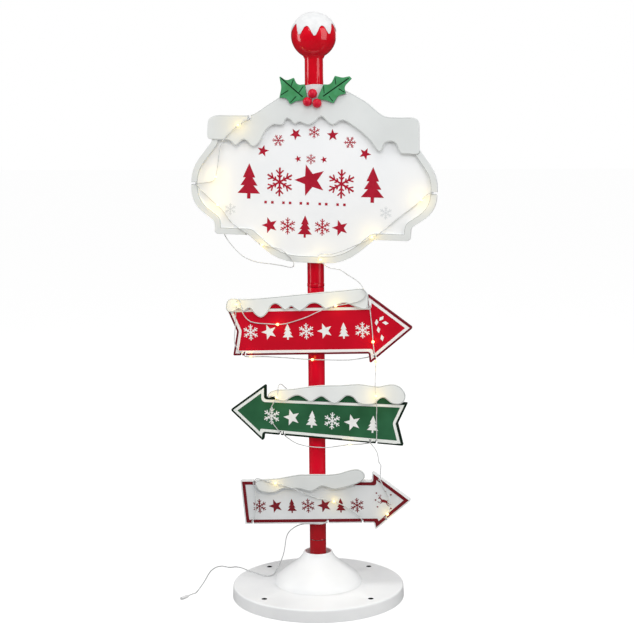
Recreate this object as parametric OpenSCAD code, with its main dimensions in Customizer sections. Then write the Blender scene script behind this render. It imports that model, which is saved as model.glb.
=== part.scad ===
// Solar christmas sign: a round base, a pole in sections, a plaque, three arrow boards, a ball finial,
// holly, and a string of small lights that is laced through slits in the edges of the boards.
// Millimetres. The origin is the centre of the base on the floor, +Z is up and the boards face -Y.

/* [Overall] */
// Height from the floor to the top of the snow on the ball
sign_h = 914; // [900:1:960]
// From the top of the sign down to the plaque's centre
plaque_drop = 264; // [260:1:280]
// Smallest distance between the centres of the plaque and the red arrow
plaque_to_red = 200; // [196:1:210]
// Smallest distance between the centres of the red and the green arrow
red_to_green = 117; // [114:1:125]
// Smallest distance between the centres of the green and the white arrow
green_to_white = 115; // [112:1:125]
// Smallest distance between the white arrow's centre and the top of the collar
white_to_collar = 66; // [60:1:75]
// Running clearance between parts that slide together
slip = 0.2; // [0.1:0.05:0.3]
// Thickness of the glue film between layers
glue_film = 0.05; // [0.02:0.01:0.1]

/* [Base] */
// Diameter of the disc
base_d = 273; // [250:1:320]
// Height of the disc
base_h = 20; // [15:0.5:26]
// Width of the ring that rests on the floor
rest_w = 6; // [4:0.5:12]
// Depth of the recess under the disc
rest_h = 2; // [1:0.5:4]
// Diameter of the hub where it meets the disc
hub_d = 139; // [110:1:160]
// Height of the collar's top edge above the floor
hub_h = 72; // [66:1:90]
// Outer diameter of the collar
collar_d = 45; // [40:1:54]
// Wall of the collar
collar_wall = 2.5; // [1.5:0.5:4]
// Depth of the open cup in the collar
cup_depth = 10; // [6:1:16]
// Diameter of the peg holes
peg_hole_d = 7; // [4:0.5:9]
// Diameter of the circle through the peg holes
peg_circle_d = 232; // [180:1:236]
// Number of peg holes
peg_count = 4; // [3:1:6]
// Turn of the peg holes about the pole
peg_turn = 54; // [0:1:89]

/* [Pole] */
// Outer diameter of the tubes
pole_d = 26; // [24:0.5:28]
// Wall of the tubes
pole_wall = 1.2; // [0.8:0.1:1.6]
// Height of the lower tube's foot in the base
pole_foot_z = 24; // [22:1:34]
// Height of the joint under the lowest board
lower_joint_z = 92; // [90:1:98]
// From the plaque's centre down to the joint under it
joint_under_plaque = 152; // [146:1:153]
// From the plaque's centre up to the joint behind it
joint_over_plaque = 110; // [95:1:120]
// Length of the sleeves inside the joints
sleeve_len = 60; // [40:1:64]
// Wall of the sleeves
sleeve_wall = 2; // [1:0.5:3]
// Height of the stop ring on a sleeve, which keeps the two tubes apart
stop_h = 1.2; // [0.8:0.1:2]
// Height of the bead on the middle sleeve
bead_ring_h = 7; // [4:0.5:9]
// How far the bead stands out past the tubes
bead_ring_out = 0.4; // [0.2:0.1:0.8]

/* [Finial] */
// Diameter of the ball
ball_d = 69; // [60:0.2:74]
// Diameter of the tube under the ball, where it stands free
stem_d = 28.4; // [27:0.2:32]
// From the plaque's centre up to the start of that wider tube
stem_over_plaque = 152; // [150:1:156]
// Thickness of the snow on the ball
ball_snow_t = 1; // [0.8:0.1:1.6]
// Number of drips round the ball
drip_count = 9; // [7:1:11]
// How much wider the neck is than the tube where it meets the ball
neck_flare = 5; // [2:0.5:8]

/* [Boards] */
// Thickness of the arrow boards
board_t = 8; // [6:0.5:12]
// Height of the raised border line on the arrows
border_h = 0.4; // [0.2:0.1:0.8]
// Distance from the board's edge to the border line
border_inset = 2.5; // [1.5:0.5:4]
// Width of the border line
border_w = 5; // [2:0.5:6]
// How far the margin outside the border line lies below the face
margin_drop = 0.3; // [0.1:0.1:0.6]
// Thickness of the snow pieces on the arrows
snow_t = 4; // [3:0.5:6]
// Width of the slits for the light string
slit_w = 3; // [2.8:0.2:3.6]
// Depth of the slits from the edge
slit_depth = 6; // [5:0.5:8]

/* [Plaque] */
// Tilt of the plaque, positive with the right end up
plaque_tilt = -1.9; // [-2.5:0.1:0]
// Thickness of the back panel
panel_t = 5; // [4:0.5:7]
// Thickness of the raised rim
rim_t = 4; // [3:0.5:5]
// Width of the raised rim
rim_w = 10; // [7:0.5:12]
// Thickness of the snow cap
cap_t = 5.5; // [5.5:0.5:8]
// Half of the width across the side bulges
plaque_half_w = 190; // [186:1:196]

/* [Holly] */
// Thickness of the leaves
leaf_t = 3; // [2:0.5:4]
// Depth of the veins in the leaves
vein_depth = 0.8; // [0.4:0.1:1]
// Width of the middle veins
vein_w = 1.9; // [1:0.1:2.4]
// Diameter of the berries
berry_d = 14; // [11:0.2:14.4]

/* [Red arrow] */
// Tilt of the red arrow, positive with the right end up
red_tilt = 2.1; // [1:0.1:3]
// From the pole to the tip
red_tip = 154; // [145:1:165]
// From the pole to the tail
red_tail = 133.5; // [132:0.5:136]
// Height of the shaft
red_shaft_h = 76; // [75:0.5:78]
// Height of the head
red_head_h = 109; // [100:1:120]

/* [Green arrow] */
// Tilt of the green arrow, positive with the right end up
green_tilt = -3.3; // [-4:0.1:-2.5]
// From the pole to the tip
green_tip = 135; // [125:1:145]
// From the pole to the tail
green_tail = 142.5; // [141:0.5:146]
// Height of the shaft at the tail
green_shaft_h = 68; // [67:0.5:70]
// Height of the head
green_head_h = 92; // [86:1:104]

/* [White arrow] */
// Tilt of the white arrow, positive with the right end up
white_tilt = 2.8; // [2:0.1:3.5]
// From the pole to the tip
white_tip = 151.5; // [143:0.5:160]
// From the pole to the tail
white_tail = 117; // [115:0.5:122]
// Height of the shaft at the tail
white_shaft_h = 72; // [71:0.5:74]
// Height of the head
white_head_h = 95.5; // [88:0.5:106]

/* [Clips] */
// Height of the clips along the pole
clip_h = 24; // [16:1:26]
// Wall of the clips' straps
clip_wall = 2.5; // [2:0.5:4]
// Thickness of the clips' ears
ear_t = 3; // [2:0.5:4]
// From the pole's axis to the screws
screw_x = 23; // [22:0.5:26]
// Diameter of the screws
screw_d = 3; // [2.5:0.5:3.5]
// Diameter of the screw heads
screw_head_d = 7; // [6:0.5:8]

/* [Light string] */
// Diameter of the wire
wire_d = 1.4; // [1:0.1:1.6]
// Diameter of the light beads
bead_d = 4.4; // [3.6:0.2:4.4]

/* [Lead] */
// Diameter of the lead
lead_d = 1.8; // [1.6:0.1:2]
// Diameter of the connector
plug_d = 5; // [4:0.2:6]
// Length of the connector
plug_len = 18; // [12:1:24]

/* [Hidden] */
$fn = 64;
eps = 0.01;

pole_r = pole_d / 2;
base_r = base_d / 2;
hub_r = hub_d / 2;
collar_r = collar_d / 2;
socket_r = pole_r + slip;
ball_r = ball_d / 2;
ball_z = sign_h - ball_r - ball_snow_t;

// Heights of the boards and joints. What is left between the boards is shared by the four gaps.
plaque_z = sign_h - plaque_drop;
spare_gap = (plaque_z - plaque_to_red - red_to_green - green_to_white - white_to_collar - hub_h) / 4;
red_z = plaque_z - plaque_to_red - spare_gap;
green_z = red_z - red_to_green - spare_gap;
white_z = green_z - green_to_white - spare_gap;
middle_joint_z = plaque_z - joint_under_plaque;
upper_joint_z = plaque_z + joint_over_plaque;

// Depths of the layers in front of the pole, all as Y values
board_back = -(pole_r + slip);
board_front = board_back - board_t;
border_front = board_front - border_h;
arrow_snow_back = border_front - glue_film;
arrow_snow_front = arrow_snow_back - snow_t;
panel_front = board_back - panel_t;
rim_back = panel_front - glue_film;
rim_front = rim_back - rim_t;
cap_front = rim_back - cap_t;
leaf_back = cap_front - glue_film;
leaf_front = leaf_back - leaf_t;

// Basic curves

function unit(v) = v / norm(v);

// A closed outline with a fillet at each point [x, y, radius]
function fillet(a, b, c, r, step) =
    let (
        p = [b.x, b.y], u = unit([a.x, a.y] - p), v = unit([c.x, c.y] - p),
        half = acos(max(-1, min(1, u * v))) / 2
    )
    r <= 0 || half > 89 ? [p] :
    let (
        room = 0.48 * min(norm([a.x, a.y] - p), norm([c.x, c.y] - p)),
        t = min(r / tan(half), room), rr = t * tan(half),
        m = p + unit(u + v) * rr / sin(half),
        s = p + u * t - m, e = p + v * t - m,
        turn = atan2(s.x * e.y - s.y * e.x, s * e),
        n = max(1, ceil(abs(turn) / step)), start = atan2(s.y, s.x)
    )
    [for (i = [0:n]) m + rr * [cos(start + turn * i / n), sin(start + turn * i / n)]];

function rounded(pts, step = 12) =
    let (n = len(pts))
    [for (i = [0:n - 1]) each fillet(pts[(i + n - 1) % n], pts[i], pts[(i + 1) % n], pts[i][2], step)];

// The same outline moved inwards by d, for points that run counterclockwise
function inset(pts, d) =
    let (n = len(pts))
    [for (i = [0:n - 1])
        let (
            a = pts[(i + n - 1) % n], b = pts[i], c = pts[(i + 1) % n],
            u = unit([b.x - a.x, b.y - a.y]), v = unit([c.x - b.x, c.y - b.y]),
            nu = [-u.y, u.x], nv = [-v.y, v.x], m = (nu + nv) / (1 + nu * nv),
            bend = u.x * v.y - u.y * v.x
        )
        [b.x + d * m.x, b.y + d * m.y, bend > 0 ? max(0.4, b[2] - d) : b[2] + d]];

function mirrored(pts) = [for (i = [len(pts) - 1:-1:0]) [-pts[i].x, pts[i].y, pts[i][2]]];

// A smooth step between b and c, with the directions that their neighbours a and d give
function stretch(a, b, c, d, n) =
    let (
        chord = norm(c - b),
        tb = unit(c - a) * (a == b ? chord : min(chord, norm(b - a))),
        tc = unit(d - b) * (d == c ? chord : min(chord, norm(d - c)))
    )
    [for (i = [0:n - 1])
        let (t = i / n, t2 = t * t, t3 = t2 * t)
        (2 * t3 - 3 * t2 + 1) * b + (t3 - 2 * t2 + t) * tb + (3 * t2 - 2 * t3) * c + (t3 - t2) * tc];

function closed_curve(p, n) =
    let (k = len(p))
    [for (i = [0:k - 1]) each stretch(p[(i + k - 1) % k], p[i], p[(i + 1) % k], p[(i + 2) % k], n)];

function open_curve(p, n) =
    let (k = len(p))
    concat(
        [for (i = [0:k - 2]) each stretch(p[max(0, i - 1)], p[i], p[i + 1], p[min(k - 1, i + 2)], n)],
        [p[k - 1]]);

function bezier(a, b, c, d, n) =
    [for (i = [0:n]) let (t = i / n, s = 1 - t)
        s * s * s * a + 3 * s * s * t * b + 3 * s * t * t * c + t * t * t * d];

// A tube swept along points, with its first cross direction carried along the route

function directions(p) =
    let (k = len(p)) [for (i = [0:k - 1]) unit(p[min(k - 1, i + 1)] - p[max(0, i - 1)])];

function cross_to(n, t) = unit(n - (n * t) * t);

function side_directions(t) =
    let (k = len(t), first = cross_to(abs(t[0].z) < 0.8 ? [0, 0, 1] : [1, 0, 0], t[0]))
    [for (i = 0, n = first; i < k; n = cross_to(n, t[min(k - 1, i + 1)]), i = i + 1) n];

module tube(p, d, sides) {
    t = directions(p);
    s = side_directions(t);
    k = len(p);
    ring_points = [for (i = [0:k - 1]) each
        [for (j = [0:sides - 1])
            let (a = 360 * j / sides) p[i] + d / 2 * (cos(a) * s[i] + sin(a) * cross(t[i], s[i]))]];
    walls = [for (i = [0:k - 2]) each
        [for (j = [0:sides - 1]) each
            let (j2 = (j + 1) % sides, a = i * sides + j, b = i * sides + j2)
            [[a, a + sides, b + sides], [a, b + sides, b]]]];
    start_cap = [for (j = [0:sides - 1]) j];
    end_cap = [for (j = [sides - 1:-1:0]) (k - 1) * sides + j];
    polyhedron(points = ring_points, faces = concat([start_cap], walls, [end_cap]));
}

// Layers of the boards: an outline in the board's own frame, from its back towards the viewer

module layer(outline, back, t) {
    translate([0, back, 0]) rotate([90, 0, 0]) linear_extrude(t) polygon(outline);
}

module on_pole(z, tilt) {
    translate([0, 0, z]) rotate([0, -tilt, 0]) children();
}

// A slit in a board's edge at [x, z], cut in the direction a
module slit(x, z, a) {
    translate([x, (board_back + cap_front) / 2, z]) rotate([0, -a, 0])
        cube([2 * slit_depth, 2 * (board_back - cap_front), slit_w], center = true);
}

module slits(places) {
    for (s = places) slit(s[0], s[1], s[2]);
}

// Base

module base() {
    handle_foot = 0.4 * (hub_h - base_h);
    handle_neck = 0.42 * (hub_h - base_h);
    ogee = bezier(
        [hub_r, base_h], [hub_r - 1, base_h + handle_foot],
        [collar_r + 6, hub_h - handle_neck], [collar_r, hub_h], 20);
    profile = concat(
        [[0, rest_h, 0], [base_r - rest_w - rest_h, rest_h, 1], [base_r - rest_w, 0, 0.5],
         [base_r, 0, 1], [base_r - 1, base_h, 3]],
        [for (p = [for (i = [0:19]) ogee[i]]) [p.x, p.y, 0]],
        [[collar_r, hub_h, 0.8], [collar_r - collar_wall, hub_h, 0.8],
         [collar_r - collar_wall, hub_h - cup_depth, 1.5], [socket_r, hub_h - cup_depth, 0],
         [socket_r, pole_foot_z, 0], [0, pole_foot_z, 0]]);
    color("white") difference() {
        rotate_extrude($fn = 96) polygon(rounded(profile, 18));
        for (i = [0:peg_count - 1]) rotate(peg_turn + 360 / peg_count * i)
            translate([peg_circle_d / 2, 0, -1]) cylinder(h = base_h + 2, d = peg_hole_d);
    }
}

// Pole

module pole_tube(z0, z1) {
    color("crimson") translate([0, 0, z0]) difference() {
        cylinder(h = z1 - z0, r = pole_r);
        translate([0, 0, -1]) cylinder(h = z1 - z0 + 2, r = pole_r - pole_wall);
    }
}

module sleeve(z) {
    translate([0, 0, z - sleeve_len / 2]) difference() {
        cylinder(h = sleeve_len, r = pole_r - pole_wall - slip);
        translate([0, 0, -1]) cylinder(h = sleeve_len + 2, r = pole_r - pole_wall - slip - sleeve_wall);
    }
}

// A sleeve with a ring that the ends of both tubes stand against, a little inside their surface
module stopped_sleeve(z) {
    ring_h = stop_h - 2 * glue_film;
    color("silver") union() {
        sleeve(z);
        translate([0, 0, z - ring_h / 2]) difference() {
            cylinder(h = ring_h, r = pole_r - pole_wall / 2);
            translate([0, 0, -1]) cylinder(h = ring_h + 2, r = pole_r - pole_wall - slip - 1);
        }
    }
}

module lower_pole() { pole_tube(pole_foot_z, lower_joint_z - stop_h / 2); }
module middle_pole() { pole_tube(lower_joint_z + stop_h / 2, middle_joint_z - bead_ring_h / 2); }
module upper_pole() { pole_tube(middle_joint_z + bead_ring_h / 2, upper_joint_z - stop_h / 2); }
module lower_sleeve() { stopped_sleeve(lower_joint_z); }
module upper_sleeve() { stopped_sleeve(upper_joint_z); }

// The middle sleeve has a rounded bead between the two tubes
module middle_sleeve() {
    inner = pole_r - pole_wall - slip - sleeve_wall;
    outer = pole_r + bead_ring_out;
    h = bead_ring_h - 2 * glue_film;
    color("crimson") union() {
        sleeve(middle_joint_z);
        translate([0, 0, middle_joint_z - h / 2]) rotate_extrude()
            polygon(rounded([[inner, 0, 0], [outer, 0, 2], [outer, h, 2], [inner, h, 0]], 15));
    }
}

// Finial

module finial() {
    stem_r = stem_d / 2;
    stem_z = plaque_z + stem_over_plaque;
    start_z = upper_joint_z + stop_h / 2;
    neck_z = ball_z - sqrt(ball_r * ball_r - pow(stem_r + neck_flare / 2, 2));
    color("crimson") difference() {
        union() {
            translate([0, 0, ball_z]) sphere(r = ball_r, $fn = 96);
            translate([0, 0, start_z]) cylinder(h = ball_z - start_z, r = pole_r);
            translate([0, 0, stem_z]) cylinder(h = ball_z - stem_z, r = stem_r);
            translate([0, 0, neck_z - neck_flare])
                cylinder(h = neck_flare, r1 = stem_r, r2 = stem_r + neck_flare / 2);
        }
        translate([0, 0, start_z - 1])
            cylinder(h = sleeve_len / 2 + 3, r = pole_r - pole_wall);
    }
}

// The snow's lower edge as an angle above the ball's equator, with one wave for each drip
function drip_angle(a) =
    29 - 5 * cos(a - 280) - 4 * cos(2 * (a - 280)) - 24 * pow((1 + cos(drip_count * (a - 2))) / 2, 1.4);

module finial_snow() {
    steps = 8 * drip_count;
    rows = 7;
    inner_r = ball_r + 0.3;
    outer_r = ball_r + ball_snow_t;
    n = rows * steps;
    function low(j) = drip_angle(360 * j / steps);
    function at(r, lat, a) = [r * cos(lat) * cos(a), r * cos(lat) * sin(a), r * sin(lat)];
    function shell(r) = [for (k = [0:rows - 1], j = [0:steps - 1])
        at(r, low(j) + (90 - low(j)) * k / rows, 360 * j / steps)];
    // Each square is split along its shorter diagonal
    function square(a, b, c, d, rising) = rising ? [[a, b, d], [b, c, d]] : [[a, b, c], [a, c, d]];
    function skin(first, top) = [for (k = [0:rows - 1], j = [0:steps - 1]) each
        let (a = first + k * steps + j, b = first + k * steps + (j + 1) % steps)
        k == rows - 1 ? [[a, b, top]] : square(a, b, b + steps, a + steps, low(j + 1) > low(j))];
    function edge() = [for (j = [0:steps - 1]) each
        let (j2 = (j + 1) % steps) [[j, n + j, n + j2], [j, n + j2, j2]]];
    outer_skin = [for (f = skin(0, 2 * n)) [f[2], f[1], f[0]]];
    inner_skin = skin(n, 2 * n + 1);
    color("white") translate([0, 0, ball_z]) polyhedron(
        points = concat(shell(outer_r), shell(inner_r), [[0, 0, outer_r], [0, 0, inner_r]]),
        faces = concat(outer_skin, inner_skin, [for (f = edge()) [f[2], f[1], f[0]]]));
}

// Plaque

plaque_half = let (w = plaque_half_w) [
    [52, -116, 110], [97, -77, 8], [w - 38, -77, 5], [w - 37, -57, 7], [w, -31, 50], [w + 1, 22, 60],
    [w - 31, 65, 5], [w - 31, 103.5, 8], [106, 103, 10], [82, 113, 15],
    [50, 133, 40], [19, 148, 30]];
plaque_outline = concat(plaque_half, mirrored(plaque_half));
cap_drawn_half_w = 190;
cap_outline = closed_curve([for (p = [
    [-142, 67.5], [-130, 67], [-120.5, 59.5], [-108, 69.5], [-94, 58.5], [-83.5, 66], [-74, 84],
    [-62, 93], [-48.5, 92.5], [-41, 103], [-30, 94.5], [-22, 98], [-9, 93.5], [2, 99], [10.5, 107],
    [19, 101], [29, 94.5], [44.5, 102], [69, 88], [87.5, 72], [102, 56], [109.5, 70], [124, 71],
    [132.5, 56], [143, 54.5], [158, 54.5], [161.5, 58], [161, 78], [160, 100],
    [156, 107], [147, 109], [125, 108.5], [107, 110], [94, 118.5], [78, 131], [49, 146],
    [20, 153.5], [-2, 155], [-25, 150], [-54, 134.5], [-76, 120], [-92, 109], [-104, 106],
    [-135, 105.5], [-153, 105], [-163, 100], [-165.5, 92], [-166, 75], [-163, 68.5]])
    [p.x * plaque_half_w / cap_drawn_half_w, p.y]], 3);
side_slit_x = plaque_half_w - 2;
side_wire_x = side_slit_x - slit_depth + wire_d / 2 + 0.8;
plaque_slits = [[-100, 105, -90], [-side_slit_x, 0, 0], [-101, -79, 90], [side_slit_x, -3, 180]];

module plaque_part(outline, back, t) {
    difference() {
        layer(outline, back, t);
        slits(plaque_slits);
    }
}

module plaque_panel() {
    color("white") difference() {
        on_pole(plaque_z, plaque_tilt) plaque_part(rounded(plaque_outline), board_back, panel_t);
        for (z = plaque_clip_zs) pilot_holes(z);
    }
}

// The rim ends under the snow at both shoulders
module plaque_rim() {
    w = 2 * plaque_half_w;
    shoulder_z = 85;
    color("gainsboro") on_pole(plaque_z, plaque_tilt) difference() {
        plaque_part(rounded(plaque_outline), rim_back, rim_t);
        layer(rounded(inset(plaque_outline, rim_w)), rim_back + 1, rim_t + 2);
        layer(cap_outline, rim_back + 1, rim_t + 2);
        layer([[-w, shoulder_z], [w, shoulder_z], [w, w], [-w, w]], rim_back + 1, rim_t + 2);
    }
}

module plaque_snow() {
    color("gainsboro") on_pole(plaque_z, plaque_tilt) plaque_part(cap_outline, rim_back, cap_t);
}

// Holly, upright, with heights above the centre of the plaque

leaf_left = [
    [-49, 168, 1], [-38, 160.5, 9], [-26.5, 165, 1], [-22, 154, 9], [-9.5, 155, 1], [-6, 132, 1],
    [-24, 130, 12], [-32.5, 125, 1.5], [-37.5, 135, 9], [-49, 135.5, 1], [-45.5, 151, 20]];
leaf_right = [
    [62, 162.5, 1], [50, 150.5, 12], [53, 140.5, 1], [41, 137.5, 9], [34, 126, 1.5], [25, 130, 12],
    [9, 133, 1], [19, 154.5, 1], [30, 154, 9], [36.5, 167, 1], [48, 164, 14], [58.5, 166, 1]];

// A straight vein from a to b, cut into the leaf's front
module vein(a, b, w) {
    along = b - a;
    translate([a.x, leaf_front, a.y]) rotate([0, -atan2(along.y, along.x), 0])
        translate([0, -vein_depth, -w / 2]) cube([norm(along), 2 * vein_depth, w]);
}

module holly_leaf_left() {
    color("seagreen") translate([0, 0, plaque_z]) difference() {
        layer(rounded([for (i = [10:-1:0]) leaf_left[i]]), leaf_back, leaf_t);
        vein([-46, 164.5], [-13, 136], vein_w);
        for (s = [
            [[-27, 162], [-31, 152]], [[-12, 152], [-19, 142]], [[-47, 139], [-35, 146]],
            [[-32, 128], [-23, 137]]])
            vein(s[0], s[1], 0.7 * vein_w);
        berry_room();
    }
}

module holly_leaf_right() {
    color("seagreen") translate([0, 0, plaque_z]) difference() {
        layer(rounded([for (i = [11:-1:0]) leaf_right[i]]), leaf_back, leaf_t);
        vein([57.5, 163], [18, 136.5], vein_w);
        for (s = [
            [[36.5, 164], [38, 154]], [[19, 152], [20, 141]], [[51, 142], [42, 148]],
            [[33, 129], [27, 137]]])
            vein(s[0], s[1], 0.7 * vein_w);
        berry_room();
    }
}

berry_places = [[2, 141.1], [-5.9, 128.8], [8.7, 126.3]];

// The leaves end round the berries
module berry_room() {
    for (c = berry_places) translate([c.x, leaf_back + 1, c.y]) rotate([90, 0, 0])
        cylinder(h = leaf_t + 2, d = berry_d + 2 * slip);
}

// Balls with a flat back that is glued to the snow
module holly_berries() {
    flat_angle = 18;
    r = berry_d / 2;
    profile = concat([for (a = [-flat_angle:12:90]) r * [cos(a), sin(a)]], [[0, -r * sin(flat_angle)]]);
    color("crimson") for (c = berry_places)
        translate([c.x, leaf_back - r * sin(flat_angle), plaque_z + c.y]) rotate([90, 0, 0])
            rotate_extrude($fn = 32) polygon(profile);
}

// Arrow boards

function arrow_outline(tip, head_x, head_h, shaft_h, drop, tail, tail_h, lean, notch) = [
    [-tail - lean / 2, tail_h / 2, 1.5],
    if (notch > 0) [-tail + notch, 0, 1.5],
    [-tail + lean / 2, -tail_h / 2, 1.5], [head_x, drop - shaft_h / 2, 1.5],
    [head_x + 1, -head_h / 2, 2], [tip, 0, 3], [head_x + 1, head_h / 2, 2],
    [head_x, drop + shaft_h / 2, 1.5]];

// The board's body, its face, the border line on the face, and a tab that carries the snow
module arrow_board(outline, snow_tab, edge_slits, flip) {
    difference() {
        union() {
            mirror([flip, 0, 0]) {
                layer(rounded(outline), board_back, board_t - margin_drop);
                layer(rounded(inset(outline, border_inset)), board_back, board_t);
                difference() {
                    layer(rounded(inset(outline, border_inset)), board_front + eps, border_h + eps);
                    layer(rounded(inset(outline, border_inset + border_w)), board_front + 1, border_h + 2);
                }
            }
            if (len(snow_tab) > 0) layer(snow_tab, board_back, board_t);
        }
        slits(edge_slits);
    }
}

red_outline = arrow_outline(
    red_tip, 84, red_head_h, red_shaft_h, -0.8, red_tail, red_shaft_h, 7, 11.5);
red_snow_tab = [[-128, 28], [82, 28], [82, 46], [-128, 46]];
red_slits = [
    [-117, -red_shaft_h / 2, 90], [-111, -red_shaft_h / 2, 90], [96, -46, 129],
    [88.5, 38, -90]];
red_snow_outline = closed_curve([
    [-133, 31.5], [-124, 31.5], [-117, 36], [-109, 31.5], [-99, 36.5], [-92, 28], [-82, 21.5],
    [-72, 28], [-65, 39], [-57.5, 42.5], [-50, 38], [-44, 32], [-38, 34.5], [-33, 38], [-27, 33.5],
    [-20, 30], [-11, 35], [-4, 40.5], [4.5, 42], [12, 39], [23, 31.5], [36, 37.5], [51, 41], [64, 36],
    [78, 30.5], [84, 31], [86.5, 36], [87.5, 46], [86, 56], [81, 61.5], [74, 63], [55, 61.5],
    [20, 59], [-30, 55.5], [-80, 52], [-110, 51], [-124, 52.5], [-132, 50.5], [-136, 44],
    [-136.5, 36]], 3);

green_outline = arrow_outline(
    green_tip, 78.5, green_head_h, green_shaft_h - 10, -4.5, green_tail, green_shaft_h, 3, 12);
green_snow_tab = [[-62, 20], [132, 20], [132, 46], [60, 46], [-62, 34]];
green_slits = [
    [-53.5, -green_shaft_h / 2 + 1, 90], [-47, -green_shaft_h / 2 + 1, 90],
    [89, -green_shaft_h / 2, 90], [99, -green_shaft_h / 2, 90]];
green_snow_outline = closed_curve([
    [-74, 25], [-67, 28], [-60, 23], [-48, 21.5], [-37, 29], [-27, 32.5], [-17, 29], [-7, 24], [2, 29.5],
    [10, 34], [19, 29.5], [31, 24], [41, 31], [47, 37], [53, 38.5], [60, 36], [67, 29], [77, 26.5],
    [92, 28.5], [100, 37], [107, 40], [113, 36.5], [120, 32], [131, 31.5], [138, 36], [140.5, 43],
    [139, 50], [134, 57], [127, 61], [118, 62], [108, 60], [97, 57], [84, 57.5], [67, 58.5], [40, 54.5],
    [14, 52], [-12, 48], [-36, 42.5], [-54, 40], [-66, 37.5], [-74, 32]], 3);

white_outline = arrow_outline(
    white_tip, 91, white_head_h, white_shaft_h - 4, -2, white_tail, white_shaft_h, 3.5, 0);
white_slits = [
    [18, -white_shaft_h / 2, 90], [-97, white_shaft_h / 2, -90], [-103, -white_shaft_h / 2, 90],
    [73, -white_shaft_h / 2, 90], [113, -31, 128], [106, 37, 232]];
white_snow_outline = closed_curve([
    [-93, 26], [-89, 20], [-81, 16.5], [-72, 15.5], [-63, 16], [-55, 19.5], [-48, 22], [-36, 21.5],
    [-24, 21.5], [-15, 19], [-6, 17], [3, 20], [12, 25], [22, 22.5], [33, 19.5], [53, 23.5],
    [66, 27.5], [76, 32], [81, 38], [80, 45], [74, 50], [66, 51.5], [54, 49], [40, 45], [24, 43.5],
    [0, 44], [-23, 44], [-43, 41], [-60, 38.5], [-80, 37.5], [-90, 35.5], [-94, 31.5]], 3);

module arrow(z, tilt, outline, snow_tab, edge_slits, flip) {
    difference() {
        on_pole(z, tilt) arrow_board(outline, snow_tab, edge_slits, flip);
        pilot_holes(z);
    }
}

module arrow_snow(z, tilt, outline, edge_slits) {
    on_pole(z, tilt) difference() {
        layer(outline, arrow_snow_back, snow_t);
        slits(edge_slits);
    }
}

module red_arrow() {
    color("crimson") arrow(red_z, red_tilt, red_outline, red_snow_tab, red_slits, 0);
}

module green_arrow() {
    color("seagreen") arrow(green_z, green_tilt, green_outline, green_snow_tab, green_slits, 1);
}

module white_arrow() {
    color("gainsboro") arrow(white_z, white_tilt, white_outline, [], white_slits, 0);
}

module red_arrow_snow() { color("white") arrow_snow(red_z, red_tilt, red_snow_outline, []); }
module green_arrow_snow() { color("white") arrow_snow(green_z, green_tilt, green_snow_outline, []); }
module white_arrow_snow() { color("white") arrow_snow(white_z, white_tilt, white_snow_outline, []); }

// Clips: a strap round the back of the pole with two ears that are screwed to the board

plaque_clip_zs = [plaque_z + 55, plaque_z - 45];
clip_zs = concat(plaque_clip_zs, [red_z, green_z, white_z]);
ear_x = screw_x + screw_head_d / 2 + 2;
bite = 4;
ear_back = board_back + ear_t;

module clip(z) {
    outer = socket_r + clip_wall;
    color("firebrick") translate([0, 0, z - clip_h / 2]) difference() {
        union() {
            cylinder(h = clip_h, r = outer);
            translate([-outer, board_back, 0]) cube([2 * outer, -board_back, clip_h]);
            translate([-ear_x, board_back, 0]) cube([2 * ear_x, ear_t, clip_h]);
        }
        translate([0, 0, -1]) cylinder(h = clip_h + 2, r = socket_r);
        translate([-ear_x - 1, board_back - outer, -1]) cube([2 * ear_x + 2, outer, clip_h + 2]);
        translate([-socket_r, board_back - 1, -1]) cube([2 * socket_r, -board_back + 1, clip_h + 2]);
        for (x = [-screw_x, screw_x]) translate([x, board_back - 1, clip_h / 2]) rotate([-90, 0, 0])
            cylinder(h = ear_t + 2, d = screw_d + 2 * slip);
    }
}

module pilot_holes(z) {
    for (x = [-screw_x, screw_x]) translate([x, board_back + 1, z]) rotate([90, 0, 0])
        cylinder(h = bite + 1.4, d = screw_d + 2 * slip);
}

// A pan-head screw at the ear's back, with its tip towards the board
module screw(x, z) {
    head_h = 2.2;
    slot_w = 1;
    translate([x, ear_back + glue_film, z]) difference() {
        union() {
            rotate([90, 0, 0]) cylinder(h = ear_t + bite, d = screw_d);
            rotate([-90, 0, 0]) cylinder(h = head_h, d = screw_head_d);
        }
        translate([-screw_head_d / 2, head_h - 1, -slot_w / 2]) cube([screw_head_d, 2, slot_w]);
    }
}

module plaque_clip_top() { clip(plaque_clip_zs[0]); }
module plaque_clip_bottom() { clip(plaque_clip_zs[1]); }
module red_clip() { clip(red_z); }
module green_clip() { clip(green_z); }
module white_clip() { clip(white_z); }
module clip_screws() { color("silver") for (z = clip_zs, x = [-screw_x, screw_x]) screw(x, z); }

// Light string: places in the frame of each board as [x, depth, z, light], with light 1 at a bead.
// The depths are over a face, over a snow piece, inside a slit, and behind a board.

wire_room = wire_d / 2 + 0.35;
bead_room = bead_d / 2 + 0.35;
over_face = border_front - wire_room;
over_snow = arrow_snow_front - wire_room;
in_board = (board_back + board_front) / 2;
behind = board_back + wire_room;
bead_face = border_front - bead_room;
bead_snow = arrow_snow_front - bead_room;
in_plaque = (board_back + rim_front) / 2;
over_panel = panel_front - wire_room;
over_rim = rim_front - wire_room;
over_cap = cap_front - wire_room;
bead_panel = panel_front - bead_room;
bead_rim = rim_front - bead_room;
bead_cap = cap_front - bead_room;
wrap_r = pole_r + wire_room + 0.3;

// Straight through a slit, from one depth by way of the middle of the board to the other
function through(x, z, from, middle, to) = [[x, from, z, 0], [x, middle, z, 0], [x, to, z, 0]];

// Round the back of the pole, from left to right or back
function wrap(z0, z1, way) = [for (i = [0:4])
    let (a = 90 + way * (30 - 15 * i)) [wrap_r * cos(a), wrap_r * sin(a), z0 + (z1 - z0) * i / 4, 0]];

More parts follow.
